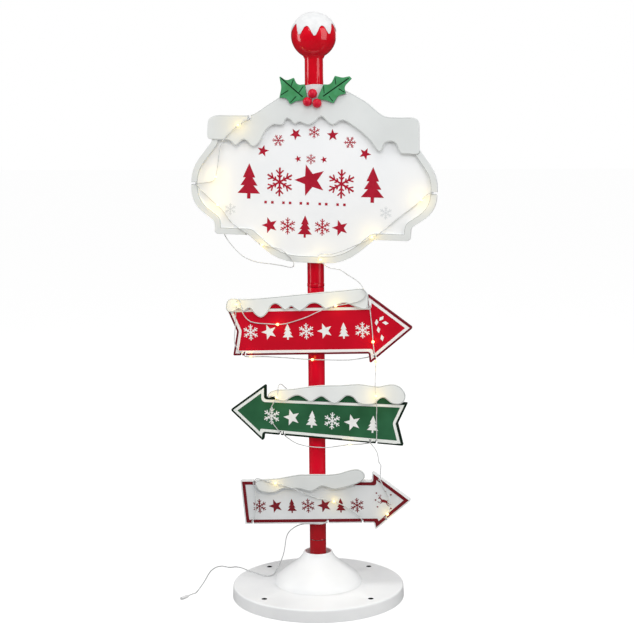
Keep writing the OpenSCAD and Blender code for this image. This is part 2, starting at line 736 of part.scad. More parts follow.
white_route = [
    [-8, -18.5, -37, 0], [2, -20, -37, 0], [10, over_face, -36, 0], [15, over_face, -33.5, 0],
    each through(18, -31.5, over_face, in_board, behind), [26, behind + 1, -26, 0],
    [45, behind + 1, -24, 0], [64, behind + 1, -27, 0],
    each through(73, -31.5, behind, in_board, over_face), [70, over_face, -26, 0],
    [61, over_face, -17, 0], [46, over_face, -7.5, 0], [30, bead_face, 0, 1], [15, over_face, 3, 0],
    [2, over_face, 5.5, 0], [-8, over_face, 9.5, 0], [-17, -24.5, 14, 0], [-24, over_snow, 18.5, 0],
    [-35, over_snow, 23, 0], [-48, over_snow, 27, 0], [-61, bead_snow, 31, 1],
    [-74, over_snow, 34, 0], [-84, over_snow, 38, 0], [-92, -23.5, 38.5, 0],
    each through(-97, 33.3, over_face, in_board, behind), [-101, behind + 1, 25, 0],
    [-104, behind + 1, 0, 0], [-104, behind + 1, -22, 0],
    each through(-103, -31.5, behind, in_board, over_face), [-100, over_face, -26, 0],
    [-97, over_face, -16, 0], [-95.5, over_face, 2, 0], [-95, over_face, 16, 0],
    [-96.5, over_face, 25, 0], each through(-97, 31.2, over_face, in_board, behind),
    [-88, -10, 32, 0], [-62, -6, 28, 0], [-34, -1, 24, 0], each wrap(22.5, 20.5, 1),
    [32, -1, 16, 0], [60, -5, 2, 0], [88, -9, -14, 0], [104, behind, -23, 0],
    each through(111, -28.4, behind, in_board, over_face), [113.5, bead_face, -21, 1],
    [117, over_face, -12, 0], [118, over_face, -1, 0], [114, over_face, 12, 0],
    [108, over_face, 25, 0], each through(104.2, 34.4, over_face, in_board, behind),
    [104, -12.4, 43, 0], [106, -15, 54, 0]];

green_route = [
    [104, -17, -64, 0], [101, -17, -50, 0], [94.5, -17, -40.5, 0], [89.3, in_board, -35, 0],
    [89, in_board + 2, -31.6, 0], [88.5, behind, -29.6, 0], [84, -11, -23, 0], [72, -8, -12, 0],
    [44, -2, 8, 0], each wrap(18.5, 21.5, -1),
    [-34, -2, 29, 0], [-48, -9, 38, 0], [-55, -13, 45, 0], [-58, -21, 47, 0],
    [-59, over_snow, 42, 0], [-59, over_snow, 34, 0], [-60, bead_snow, 27, 1],
    [-64, over_snow, 20, 0], [-68, -24, 12, 0], [-71, over_face, 3, 0], [-70.5, over_face, -6, 0],
    [-66, over_face, -15, 0], [-59, over_face, -23, 0],
    each through(-53.5, -29, over_face, in_board, behind), [-50, behind + 0.4, -32, 0],
    [-46, -13.5, -36.5, 0], [-38, -15, -41, 0], [-27, -16, -46, 0], [-8, -16.5, -49, 0],
    [19, -16.5, -48.5, 0], [38, -16.5, -44.5, 0], [57, -17, -40, 1], [74, -15, -38.4, 0],
    [88, -12.3, -35.6, 0], [95, behind, -31.8, 0], each through(99, -29.5, behind, in_board, over_face),
    [99, over_face, -20, 0], [98, over_face, -4, 0], [97, over_face, 10, 0], [97, -23.5, 21, 0],
    [96.5, over_snow, 29, 0], [96, over_snow, 34, 0], [95, bead_snow, 41.5, 1],
    [94, over_snow, 50, 0], [93, over_snow, 58, 0], [92, -23, 66, 0], [91.5, -18, 76, 0]];

red_route = [
    [93, -14, -62, 0], [93, -12.2, -53, 1], [92, behind + 0.5, -44, 0], [87, behind + 1, -30, 0],
    [84, behind + 1, -4, 0],
    [86, behind + 1, 24, 0], each through(88.5, 34, behind, in_board, over_face),
    [89.5, over_face, 26, 0], [90.5, over_face, 10, 0], [91.5, over_face, -6, 0],
    [92, bead_face, -20, 1], [92.5, over_face, -31, 0], [93.5, over_face, -39, 0],
    each through(94.1, -43.5, over_face, in_board, behind), [86, behind + 0.5, -44.5, 0],
    [78, -13.5, -46, 0], [52, -16, -49, 0], [18, -17, -48, 0], [-5, -18, -47, 1],
    [-26, -17.5, -45.5, 0], [-48, -17, -43.5, 0], [-76, -17, -41.5, 0], [-92, -17.5, -41, 0],
    [-103, -16.5, -41.5, 1], [-112, -14, -40.8, 0], [-115.5, behind + 0.3, -38.5, 0],
    [-116.8, behind, -35.5, 0], each through(-117, -33.4, behind, in_board, over_face),
    [-121, over_face, -29, 0],
    [-126, over_face, -20, 0], [-126, over_face, -8, 0], [-124, over_face, 6, 0],
    [-123, over_face, 18, 0], [-122, -24, 25.5, 0], [-121, over_snow, 31, 0],
    [-120.2, bead_snow, 37, 0], [-119.4, bead_snow, 43, 1], [-118, bead_snow, 48.5, 0],
    [-115, over_snow, 50, 0], [-112.8, over_snow, 45, 0], [-111.5, over_snow, 38, 0],
    [-110, over_snow, 30, 0], [-107, -23.5, 22.5, 0], [-99, over_face, 15, 0],
    [-84, over_face, 12, 0], [-70, over_face, 11, 0], [-56, bead_face, 10, 1],
    [-42, over_face, 11, 0], [-20, over_face, 17, 0], [-6, -23.5, 22, 0], [6, over_snow, 27.5, 0],
    [22, over_snow, 33.5, 0], [37, bead_snow, 37.5, 1], [52, over_snow, 39.5, 0],
    [68, over_snow, 42, 0], [80, over_snow, 47, 0], [84, over_snow, 54, 0], [81, over_snow, 62, 0],
    [77, -25, 69, 0], [70, -23, 75.5, 0], [57, -22.5, 84, 0], [45, -23, 92.5, 0]];

plaque_route = [
    [32, -23.2, -123, 0], [25, -24, -120, 0], [20, bead_rim, -115.8, 0], [15.5, bead_rim, -111, 1],
    [12, bead_rim, -107, 0], [14, over_rim, -102.5, 0], [21, over_rim, -101.5, 0],
    [32, over_rim, -101.5, 0], [48, over_rim, -96, 0], [72, over_rim, -85, 0], [94, bead_rim, -73, 1],
    [102, over_rim, -68.5, 0],
    [107, over_rim, -65, 0], [113, -20.5, -60, 0], [121, over_panel, -53, 0], [130, over_panel, -45, 0],
    [142, over_panel, -35, 0], [156, over_panel, -24, 0], [167, bead_panel, -14, 1],
    [173, -20.5, -8, 0], [178, over_rim, -4, 0],
    each through(side_wire_x, -3, over_rim, in_plaque, behind),
    [172, behind + 1, 1, 0], [120, -10, 10, 0], [60, -4, 22, 0], each wrap(28, 28, -1),
    [-36, -3, 36, 0], [-66, -8, 62, 0], [-90, -11, 88, 0],
    each through(-100, 101, behind, in_plaque, over_cap), [-108, over_cap, 97, 0],
    [-117, bead_cap, 90.5, 1], [-127, over_cap, 82, 0], [-135, over_cap, 74, 0],
    [-140, over_cap, 67, 0], [-144, -22, 60, 0], [-147, over_panel, 51, 0],
    [-148.5, over_panel, 38, 0], [-150, over_panel, 25, 0], [-151, bead_panel, 17, 0],
    [-152.5, bead_panel, 10.5, 1], [-155, bead_panel, 5, 0], [-162, over_panel, 2.5, 0],
    [-169, over_panel, 1.5, 0], [-175, -22.5, 0.5, 0],
    [-179, over_rim, 0.5, 0], each through(-side_wire_x, 0.5, over_rim, in_plaque, behind),
    each through(-side_wire_x, -0.5, behind + 0.2, in_plaque, over_rim), [-180, over_rim, -4, 0],
    [-175, -22.5, -10, 0], [-168, over_panel, -17, 0], [-160, over_panel, -24, 0],
    [-149, bead_panel, -33, 1], [-141, over_panel, -40, 0], [-135, over_panel, -48, 0],
    [-128, over_panel, -57, 0], [-123, over_panel, -61, 0], [-117, over_rim, -64.5, 0],
    [-111, over_rim, -68.5, 0],
    [-103, over_rim, -73, 0], [-94, over_rim, -79, 0], [-86, over_rim, -86, 0],
    [-76, bead_rim, -91.5, 1], [-62, over_rim, -94, 0], [-47, over_rim, -97, 0],
    [-37, over_rim, -104, 0], [-29, over_rim, -112, 0], [-26, over_rim, -118.5, 0],
    [-28, -19.5, -123.5, 0], [-34, -16.5, -125, 0], [-45, -15, -123, 0], [-64, -15, -121, 0],
    [-86, -15, -119, 0],
    [-102, -15, -114, 0], [-114, -15, -106.5, 0], [-128, -14, -93, 0], [-138, behind, -80, 0],
    [-141, behind + 0.5, -70, 0]];

function in_sign(rows, z, tilt) = [for (p = rows)
    [p[0] * cos(tilt) - p[2] * sin(tilt), p[1], z + p[0] * sin(tilt) + p[2] * cos(tilt), p[3]]];

string_rows = concat(
    in_sign(white_route, white_z, white_tilt), in_sign(green_route, green_z, green_tilt),
    in_sign(red_route, red_z, red_tilt), in_sign(plaque_route, plaque_z, plaque_tilt));
string_points = [for (p = string_rows) [p[0], p[1], p[2]]];

module light_string() {
    color("lightgray") tube(open_curve(string_points, 2), wire_d, 6);
}

// Each bead is bored along the wire
module light_beads() {
    color("khaki") for (i = [1:len(string_rows) - 2]) if (string_rows[i][3] == 1) {
        along = unit(string_points[i + 1] - string_points[i - 1]);
        translate(string_points[i]) rotate([0, acos(along.z), atan2(along.y, along.x)]) difference() {
            sphere(d = bead_d, $fn = 32);
            cylinder(h = bead_d + 1, d = wire_d + 0.9, center = true);
        }
    }
}

// Lead: it hangs from the end of the light string, rests on the base, and lies on the floor

on_disc = base_h + lead_d / 2 + 0.1;
on_floor = lead_d / 2 + 0.1;
lead_points = [
    string_points[0] + unit(string_points[0] - string_points[1]) * 0.15,
    [-20, -16, 119], [-31, -9, 114], [-41, 0, 106], [-50, 10, 96], [-56, 21, 83], [-60, 32, 67],
    [-65, 43, 50], [-71, 50, 36], [-75, 50, 26], [-77.5, 44, on_disc + 0.6], [-78, 36, on_disc],
    [-78, 28, on_disc],
    [-80, 20, on_disc], [-87, 15.5, on_disc], [-96, 19, on_disc], [-111, 30, on_disc],
    [-125, 40.5, on_disc], [-134, 49, on_disc], [-144, 62, 18.5], [-154, 77, 14], [-164, 93, 8],
    [-173, 106, 3.5], [-181, 115, 1.6], [-188, 118.5, on_floor], [-195, 112, on_floor],
    [-199, 95, on_floor], [-199, 71, on_floor], [-197, 45, on_floor], [-195.5, 17, on_floor],
    [-195, -24, on_floor], [-197.5, -35, plug_d / 2], [-202, -45, plug_d / 2 + 0.1]];
lead_curve = open_curve(lead_points, 2);

module lead_cord() {
    color("lightgray") tube(lead_curve, lead_d, 8);
}

// A small inline connector with a stepped nose and two sockets
module lead_plug() {
    k = len(lead_curve);
    tip = lead_curve[k - 1];
    along = unit(tip - lead_curve[k - 2]);
    nose = 5;
    color("white") translate(tip + along * glue_film)
        rotate([0, acos(along.z), atan2(along.y, along.x)]) difference() {
            union() {
                cylinder(h = nose, r1 = lead_d / 2 + 0.6, r2 = plug_d / 2);
                translate([0, 0, nose]) cylinder(h = plug_len - nose, d = plug_d);
            }
            for (y = [-1.1, 1.1]) translate([0, y, plug_len - 5]) cylinder(h = 6, d = 1.1);
        }
}

base();
lower_pole();
middle_pole();
upper_pole();
lower_sleeve();
middle_sleeve();
upper_sleeve();
finial();
finial_snow();
plaque_panel();
plaque_rim();
plaque_snow();
holly_leaf_left();
holly_leaf_right();
holly_berries();
red_arrow();
red_arrow_snow();
green_arrow();
green_arrow_snow();
white_arrow();
white_arrow_snow();
plaque_clip_top();
plaque_clip_bottom();
red_clip();
green_clip();
white_clip();
clip_screws();
light_string();
light_beads();
lead_cord();
lead_plug();
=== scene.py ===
# %% [markdown]
# A freestanding Christmas sign: a white base, a red pole, a plaque and three arrow boards with
# snow on them, a ball with holly under it, and a string of small lights that is laced through
# the boards. The imported model gives every solid at its real size. This script gives them their
# finish and adds what is too fine for the solids: rounded edges, lines of painted shade, laps of
# paint, printed ornaments and light.

# %% The frame
import bpy
import bmesh
import math
from mathutils import Matrix, Vector


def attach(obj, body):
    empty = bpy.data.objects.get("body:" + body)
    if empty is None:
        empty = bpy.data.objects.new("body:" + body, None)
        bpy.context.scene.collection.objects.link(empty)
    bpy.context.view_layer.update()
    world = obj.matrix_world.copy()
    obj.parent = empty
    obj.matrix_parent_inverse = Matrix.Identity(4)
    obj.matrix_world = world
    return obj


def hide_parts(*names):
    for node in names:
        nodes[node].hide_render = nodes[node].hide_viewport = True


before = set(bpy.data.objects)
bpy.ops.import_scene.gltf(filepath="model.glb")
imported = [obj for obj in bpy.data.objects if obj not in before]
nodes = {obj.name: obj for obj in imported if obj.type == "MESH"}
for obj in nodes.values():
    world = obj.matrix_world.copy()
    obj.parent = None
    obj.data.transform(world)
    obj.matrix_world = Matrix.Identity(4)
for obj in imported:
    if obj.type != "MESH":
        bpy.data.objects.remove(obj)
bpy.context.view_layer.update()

# %% [markdown]
# The camera stands where the real one did: 2.25 m away, ten degrees to the right of the boards'
# own direction, looking slightly down. A short lens from close by would make the base bulge, and
# a long lens from further away keeps the sides upright. The place is given as three turns and a
# shift, because each of them could be fitted by itself.

# %% The camera
MM = 0.001
CAMERA_PLACE = (0.3921, -2.2156, 0.7512)
CAMERA_AZIMUTH = math.radians(10)
CAMERA_PITCH = 0.1343
CAMERA_ROLL = -0.0085
LENS_MM = 82.74
SENSOR_MM = 36


def add_camera():
    data = bpy.data.cameras.new("camera")
    data.lens = LENS_MM
    data.sensor_width = SENSOR_MM
    camera = bpy.data.objects.new("camera", data)
    bpy.context.scene.collection.objects.link(camera)
    turn = (
        Matrix.Rotation(CAMERA_AZIMUTH, 4, "Z")
        @ Matrix.Rotation(math.pi / 2 - CAMERA_PITCH, 4, "X")
        @ Matrix.Rotation(CAMERA_ROLL, 4, "Z")
    )
    camera.matrix_world = Matrix.Translation(CAMERA_PLACE) @ turn
    bpy.context.scene.camera = camera


add_camera()
bpy.context.scene.view_settings.view_transform = "Standard"
print("camera at", CAMERA_PLACE, "with a lens of", LENS_MM, "mm")

# %% [markdown]
# Colours are written as a maker writes them, as sRGB hex values. Blender's nodes count light
# instead, so one function turns a hex value into linear light. A second one adds a node with its
# settings and links, and a third starts a material: it sets the shine of the main shader and
# hands back the place on the piece, which all patterns start from.

# %% Colours and nodes
def linear(code):
    channels = [int(code[i:i + 2], 16) / 255 for i in (1, 3, 5)]
    return (*[c / 12.92 if c <= 0.04045 else ((c + 0.055) / 1.055) ** 2.4 for c in channels], 1)


def add_node(tree, kind, settings=None, links=None, **properties):
    node = tree.nodes.new(kind)
    for name, value in properties.items():
        setattr(node, name, value)
    for name, value in (settings or {}).items():
        node.inputs[name].default_value = value
    for name, source in (links or {}).items():
        tree.links.new(source, node.inputs[name])
    return node


def start_material(name, roughness, shine=0.5, coat=0.0, coat_roughness=0.1, metallic=0.0, ior=1.5):
    material = bpy.data.materials.new(name)
    material.use_nodes = True
    tree = material.node_tree
    shader = tree.nodes["Principled BSDF"]
    shader.inputs["Roughness"].default_value = roughness
    shader.inputs["Metallic"].default_value = metallic
    shader.inputs["IOR"].default_value = ior
    shader.inputs["Specular IOR Level"].default_value = shine
    shader.inputs["Coat Weight"].default_value = coat
    shader.inputs["Coat Roughness"].default_value = coat_roughness
    place = add_node(tree, "ShaderNodeTexCoord").outputs["Object"]
    return material, tree, shader, place


print("a middle grey, #808080, is", round(linear("#808080")[0], 3), "in linear light")

# %% [markdown]
# No moulded or painted surface is one even colour. Each finish here is a base colour that drifts
# a little, and a fine grain that breaks up the gloss. Both could be painted pictures, but noise
# in object space needs no unwrapping, and its scale follows from a real size in millimetres.
# Where a line or a side has its own colour, its depth towards the viewer picks it out, because
# the boards are flat layers, and a Mix node lays one colour over the other. That node has
# sockets for numbers and vectors too, so its colour sockets are known by their numbers.

# %% Drift, grain and depth
MIX_UNDER, MIX_OVER, MIX_RESULT = 6, 7, 2
NOISE_LOW = 0.32


def colour_drift(tree, place, size_mm, low, high):
    noise = add_node(
        tree, "ShaderNodeTexNoise", {"Scale": 1 / (size_mm * MM), "Detail": 2.0}, {"Vector": place})
    node = add_node(tree, "ShaderNodeValToRGB", links={"Fac": noise.outputs["Fac"]})
    first, last = node.color_ramp.elements
    first.position, first.color = NOISE_LOW, linear(low)
    last.position, last.color = 1 - NOISE_LOW, linear(high)
    return node.outputs["Color"]


def add_grain(tree, shader, place, size_mm, height_mm, strength):
    noise = add_node(
        tree, "ShaderNodeTexNoise", {"Scale": 1 / (size_mm * MM), "Detail": 3.0}, {"Vector": place})
    bump = add_node(
        tree, "ShaderNodeBump", {"Strength": strength, "Distance": height_mm * MM},
        {"Height": noise.outputs["Fac"]})
    tree.links.new(bump.outputs["Normal"], shader.inputs["Normal"])


def past(tree, place, axis, from_mm, to_mm):
    # 0 up to from_mm and 1 beyond to_mm, along one axis
    split = add_node(tree, "ShaderNodeSeparateXYZ", links={"Vector": place})
    node = add_node(
        tree, "ShaderNodeMapRange", {"From Min": from_mm * MM, "From Max": to_mm * MM},
        {"Value": split.outputs[axis]})
    return node.outputs["Result"]


def even_finish(name, drift, grain=None, **looks):
    # One drifting colour all over, and a grain where its size, height and strength are given
    material, tree, shader, place = start_material(name, **looks)
    tree.links.new(colour_drift(tree, place, *drift), shader.inputs["Base Color"])
    if grain:
        add_grain(tree, shader, place, *grain)
    return material


print("a pattern of 4 mm has a noise scale of", round(1 / (4 * MM)))

# %% [markdown]
# The lead is the only cord that lies free. It leaves the end of the light string under the
# lowest board, touches the base, springs off its edge and lies on the floor, where it ends in a
# small connector. It could be a pipe swept in the solids, and there it is one. Here it is a curve
# with a round bevel, so that its length can be stated and it can be laid anew. Its centreline is
# one smooth run through points that were read off the real cord.

# %% The lead's finish
# Silvered strands in clear vinyl: a pale grey with a soft gloss, and a twist every 4 mm
wire_finish = even_finish(
    "clear_vinyl_over_silver_wire", (4, "#BFC1C1", "#E2E4E4"), (1.5, 0.1, 0.3), roughness=0.3, coat=0.5)
print("wire finish:", wire_finish.name)

# %% The lead cord
LEAD_D = 1.8 * MM
ON_DISC = 21.0
ON_FLOOR = 1.0
STEPS_BETWEEN_POINTS = 4
LEAD_POINTS_MM = [
    (-6.33, -18.48, 120.65), (-20, -16, 119), (-31, -9, 114), (-41, 0, 106), (-50, 10, 96),
    (-56, 21, 83), (-60, 32, 67), (-65, 43, 50), (-71, 50, 36), (-75, 50, 26), (-77.5, 44, 21.6),
    (-78, 36, ON_DISC), (-78, 28, ON_DISC), (-80, 20, ON_DISC), (-87, 15.5, ON_DISC),
    (-96, 19, ON_DISC), (-111, 30, ON_DISC), (-125, 40.5, ON_DISC), (-134, 49, ON_DISC),
    (-144, 62, 18.5), (-154, 77, 14), (-164, 93, 8), (-173, 106, 3.5), (-181, 115, 1.6),
    (-188, 118.5, ON_FLOOR), (-195, 112, ON_FLOOR), (-199, 95, ON_FLOOR), (-199, 71, ON_FLOOR),
    (-197, 45, ON_FLOOR), (-195.5, 17, ON_FLOOR), (-195, -24, ON_FLOOR), (-197.5, -35, 2.5),
    (-202, -45, 2.6),
]


def smooth_route(points, steps):
    # Cubic pieces whose directions at each point come from its two neighbours
    p = [Vector(q) * MM for q in points]
    route = []
    for i in range(len(p) - 1):
        b, c = p[i], p[i + 1]
        a, d = p[max(0, i - 1)], p[min(len(p) - 1, i + 2)]
        chord = (c - b).length
        start = (c - a).normalized() * (chord if a == b else min(chord, (b - a).length))
        end = (d - b).normalized() * (chord if d == c else min(chord, (d - c).length))
        for k in range(steps):
            t = k / steps
            route.append(
                (2 * t**3 - 3 * t**2 + 1) * b + (t**3 - 2 * t**2 + t) * start
                + (3 * t**2 - 2 * t**3) * c + (t**3 - t**2) * end)
    return route + [p[-1]]


def add_lead():
    route = smooth_route(LEAD_POINTS_MM, STEPS_BETWEEN_POINTS)
    data = bpy.data.curves.new("lead", "CURVE")
    data.dimensions = "3D"
    data.bevel_depth = LEAD_D / 2
    data.bevel_resolution = 4
    data.use_fill_caps = True
    spline = data.splines.new("POLY")
    spline.points.add(len(route) - 1)
    for point, place in zip(spline.points, route):
        point.co = (*place, 1)
    data.materials.append(wire_finish)
    lead = bpy.data.objects.new("lead", data)
    bpy.context.scene.collection.objects.link(lead)
    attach(lead, "root")
    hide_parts("lead_cord")
    length = sum((b - a).length for a, b in zip(route, route[1:]))
    print("lead: length", round(length, 4), "m")
    return lead


lead = add_lead()

# %% [markdown]
# Every solid is dressed by a copy of itself, so that each size stays what the solid says. A
# solid comes as loose triangles. In the copy they are merged, its shading is smoothed across
# shallow edges, and it gets its finish. Modelling each piece again would give the same shape
# with more ways to be wrong.

# %% Copies of the solids
MERGE_MM = 0.002
SHARP_DEGREES = 35


def deselect_all():
    if bpy.context.mode != "OBJECT":
        bpy.ops.object.mode_set(mode="OBJECT")
    bpy.ops.object.select_all(action="DESELECT")


def activate(piece):
    deselect_all()
    piece.select_set(True)
    bpy.context.view_layer.objects.active = piece


def merged_copy(node_name, name):
    piece = bpy.data.objects.new(name, nodes[node_name].data.copy())
    bpy.context.scene.collection.objects.link(piece)
    activate(piece)
    bpy.ops.object.mode_set(mode="EDIT")
    bpy.ops.mesh.select_all(action="SELECT")
    bpy.ops.mesh.remove_doubles(threshold=MERGE_MM * MM)
    bpy.ops.object.mode_set(mode="OBJECT")
    return piece


def smooth(piece, degrees=SHARP_DEGREES):
    activate(piece)
    bpy.ops.object.shade_smooth_by_angle(angle=math.radians(degrees))
    even = piece.modifiers.new("even_normals", "WEIGHTED_NORMAL")
    even.keep_sharp = True
    bpy.ops.object.modifier_apply(modifier=even.name)


def stand_for(piece, node_name, material):
    piece.data.materials.clear()
    piece.data.materials.append(material)
    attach(piece, "root")
    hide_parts(node_name)
    return piece


def smoothed(node_name, name, material, degrees=SHARP_DEGREES):
    piece = merged_copy(node_name, name)
    smooth(piece, degrees)
    print(name, "faces:", len(piece.data.polygons))
    return stand_for(piece, node_name, material)


print("corners merged within", MERGE_MM, "mm, shading smooth up to", SHARP_DEGREES, "degrees")

# %% [markdown]
# The boards, the snow and the plaque are cut or moulded from plastic, and no such edge is
# sharp. Their copies get a small round along the front and the back by the bevel operator. A
# Bevel modifier could do it too, but it would also round the fine steps of the border lines, so
# the edges are picked in code. A round of under a millimetre is enough to catch the light.

# %% Rounded edges
ALMOST_FLAT_DEGREES = 0.5
FACES_ALONG_Y = 0.99
UPRIGHT = 0.05
FULL_THICKNESS = 0.8
SLIVER_MM = 0.01


def dissolve_flats(piece):
    activate(piece)
    bpy.ops.object.mode_set(mode="EDIT")
    bpy.ops.mesh.select_all(action="SELECT")
    bpy.ops.mesh.dissolve_limited(angle_limit=math.radians(ALMOST_FLAT_DEGREES))
    bpy.ops.object.mode_set(mode="OBJECT")


def select_rim_edges(mesh, thickness):
    # Edges where a front or back face meets a wall of nearly the full thickness
    count = 0
    for edge in mesh.edges:
        edge.select = False
        if len(edge.link_faces) != 2:
            continue
        flat = [f for f in edge.link_faces if abs(f.normal.y) > FACES_ALONG_Y]
        wall = [f for f in edge.link_faces if abs(f.normal.y) < UPRIGHT]
        if len(flat) == 1 and len(wall) == 1:
            depths = [v.co.y for v in wall[0].verts]
            edge.select = max(depths) - min(depths) > FULL_THICKNESS * thickness
            count += edge.select
    return count


def round_rims(piece, radius_mm, segments):
    depths = [v.co.y for v in piece.data.vertices]
    activate(piece)
    bpy.ops.object.mode_set(mode="EDIT")
    bpy.ops.mesh.select_mode(type="EDGE")
    bpy.ops.mesh.select_all(action="DESELECT")
    mesh = bmesh.from_edit_mesh(piece.data)
    count = select_rim_edges(mesh, max(depths) - min(depths))
    bmesh.update_edit_mesh(piece.data)
    bpy.ops.mesh.bevel(
        offset=radius_mm * MM, segments=segments, profile=0.5, affect="EDGES", clamp_overlap=True)
    bpy.ops.mesh.select_all(action="SELECT")
    bpy.ops.mesh.dissolve_degenerate(threshold=SLIVER_MM * MM)
    bpy.ops.object.mode_set(mode="OBJECT")
    return count


def moulded(node_name, name, material, radius_mm, segments=3):
    piece = merged_copy(node_name, name)
    dissolve_flats(piece)
    count = round_rims(piece, radius_mm, segments)
    smooth(piece)
    print(name, "edges rounded:", count, "faces:", len(piece.data.polygons))
    return stand_for(piece, node_name, material)


print("walls of over", FULL_THICKNESS, "of the thickness get rounded edges")

# %% [markdown]
# A fine grey line of painted shade runs along some edges of the snow and the rim, beside walls
# where shade falls. It could be a mask in the material, but no simple formula knows the outline.
# So the front is inset by the width of the line, and the strip beside each wanted wall gets the
# painted shade as a second material.

# %% Edges with painted shade
NOT_FRONT = -0.98


# Paints a strip of shade on the front beside each wanted wall
def paint_edge_shade(piece, ink_or_shade, width_mm, wanted):
    # wanted says yes or no to a wall, from the middle and the normal of one of its faces
    activate(piece)
    bpy.ops.object.mode_set(mode="EDIT")
    bpy.ops.mesh.select_mode(type="FACE")
    bpy.ops.mesh.select_all(action="DESELECT")
    mesh = bmesh.from_edit_mesh(piece.data)
    for face in mesh.faces:
        face.select_set(face.normal.y < -FACES_ALONG_Y)
    bmesh.update_edit_mesh(piece.data)
    bpy.ops.mesh.quads_convert_to_tris(quad_method="BEAUTY", ngon_method="BEAUTY")
    bpy.ops.mesh.inset(thickness=width_mm * MM)
    mesh = bmesh.from_edit_mesh(piece.data)
    count = 0
    for face in mesh.faces:
        if face.select or face.normal.y > -FACES_ALONG_Y:
            continue
        walls = [f for edge in face.edges for f in edge.link_faces if f.normal.y > NOT_FRONT]
        if any(wanted(wall.calc_center_median(), wall.normal) for wall in walls):
            face.material_index = 1
            count += 1
    bmesh.update_edit_mesh(piece.data)
    bpy.ops.object.mode_set(mode="OBJECT")
    piece.data.materials.append(ink_or_shade)
    smooth(piece)
    print(piece.name, "inked strips:", count)


print("a wall has a normal above", NOT_FRONT, "along Y")

# %% [markdown]
# The base is moulded polyethylene, a waxy white with a satin gloss and a very fine grain from
# the mould. Its four peg holes look black and have a soft dark lip, and both are painted shade.
# Real lips could be cut, but they are so thin that colour does as well: the material is painted
# dark close to a hole, and the walls of the holes get a finish of painted shade that sends no
# light back.

# %% The base
PEG_RING_MM, PEG_TURN, PEG_LIP_SHADE_MM = 116, 54, 4.4
PEG_WALLS_MM = 4
PEG_WALL_SLANT = 0.2


def near_a_peg_hole(tree, place):
    # Turned back, the four holes lie on the axes, so one corner stands for all four
    turned = add_node(
        tree, "ShaderNodeMapping", {"Rotation": (0, 0, -math.radians(PEG_TURN)), "Scale": (1, 1, 0)},
        {"Vector": place})
    corner = add_node(
        tree, "ShaderNodeVectorMath", links={0: turned.outputs["Vector"]}, operation="ABSOLUTE")
    gaps = [
        add_node(
            tree, "ShaderNodeVectorMath", {1: hole}, {0: corner.outputs["Vector"]},
            operation="DISTANCE").outputs["Value"]
        for hole in ((PEG_RING_MM * MM, 0, 0), (0, PEG_RING_MM * MM, 0))]
    gap = add_node(tree, "ShaderNodeMath", links={0: gaps[0], 1: gaps[1]}, operation="MINIMUM")
    return add_node(
        tree, "ShaderNodeMath", {1: PEG_LIP_SHADE_MM * MM}, {0: gap.outputs[0]},
        operation="LESS_THAN").outputs[0]


def moulded_polyethylene():
    # Waxy white with a broad soft highlight, and painted shade in a ring where the lips roll into the
    # holes
    material, tree, shader, place = start_material(
        "moulded_polyethylene", roughness=0.4, shine=0.4, coat=0.1, coat_roughness=0.3)
    face = colour_drift(tree, place, 60, "#F3F4F5", "#F9FAFA")
    # Painted shade: near-black in a ring close to each peg hole
    with_lip_shade = add_node(
        tree, "ShaderNodeMix", {MIX_OVER: linear("#121314")},
        {"Factor": near_a_peg_hole(tree, place), MIX_UNDER: face}, data_type="RGBA")
    tree.links.new(with_lip_shade.outputs[MIX_RESULT], shader.inputs["Base Color"])
    add_grain(tree, shader, place, 1.2, 0.05, 0.25)
    return material


# Gives the walls of the holes the painted shade as a second material
def paint_shade_in_peg_holes(piece, material):
    # The walls of the holes are the only upright faces near the ring that the holes stand on
    piece.data.materials.append(material)
    count = 0
    for face in piece.data.polygons:
        off_ring = abs(face.center.xy.length - PEG_RING_MM * MM)
        if off_ring < PEG_WALLS_MM * MM and abs(face.normal.z) < PEG_WALL_SLANT:
            face.material_index = 1
            count += 1
    print("dark faces:", count)


# Painted shade: black without any gloss, because the real disc is a shell and its holes look into the
# dark
painted_hole_shade = even_finish(
    "painted_shade_in_peg_holes", (3, "#040505", "#0B0C0D"), roughness=0.9, shine=0.0)
base = smoothed("base", "moulded_base", moulded_polyethylene())
paint_shade_in_peg_holes(base, painted_hole_shade)

# %% [markdown]
# The pole is thin steel tube under red powder paint. The paint melts in an oven and keeps a
# slight ripple, like the skin of an orange, about 2 mm from crest to crest. The ripple could be
# modelled, but it is so low that a bump shows all there is to see. The upper tube and the joint
# below it are a little deeper in colour than the long tube. Below the lowest board the red turns
# duller towards the foot: painted shade under the board. One function makes both paints, so they
# differ in nothing but the red.

# %% The pole
FOOT_SHADE_MM = (175, 150)


def red_powder_paint(name, low, high):
    # Deep red under a clear layer, with long soft highlights, and painted shade at the foot, below the
    # lowest board
    material, tree, shader, place = start_material(
        name, roughness=0.4, shine=0.1, coat=0.5, coat_roughness=0.1)
    bright = colour_drift(tree, place, 35, low, high)
    # Painted shade: the red turns duller from 175 mm down to 150 mm, below the lowest board
    with_foot_shade = add_node(
        tree, "ShaderNodeMix", {MIX_OVER: linear("#A8141E")},
        {"Factor": past(tree, place, "Z", *FOOT_SHADE_MM), MIX_UNDER: bright}, data_type="RGBA")
    tree.links.new(with_foot_shade.outputs[MIX_RESULT], shader.inputs["Base Color"])
    add_grain(tree, shader, place, 2.0, 0.05, 0.2)
    return material


def drawn_steel():
    # Bright tube, drawn through a die, with fine lines along its length
    material, tree, shader, place = start_material("drawn_steel", roughness=0.32, metallic=1.0)
    stretch = add_node(
        tree, "ShaderNodeMapping", {"Scale": (1.0, 1.0, 0.02)}, {"Vector": place}).outputs["Vector"]
    colour = colour_drift(tree, stretch, 0.8, "#8E9092", "#B9BBBD")
    tree.links.new(colour, shader.inputs["Base Color"])
    return material


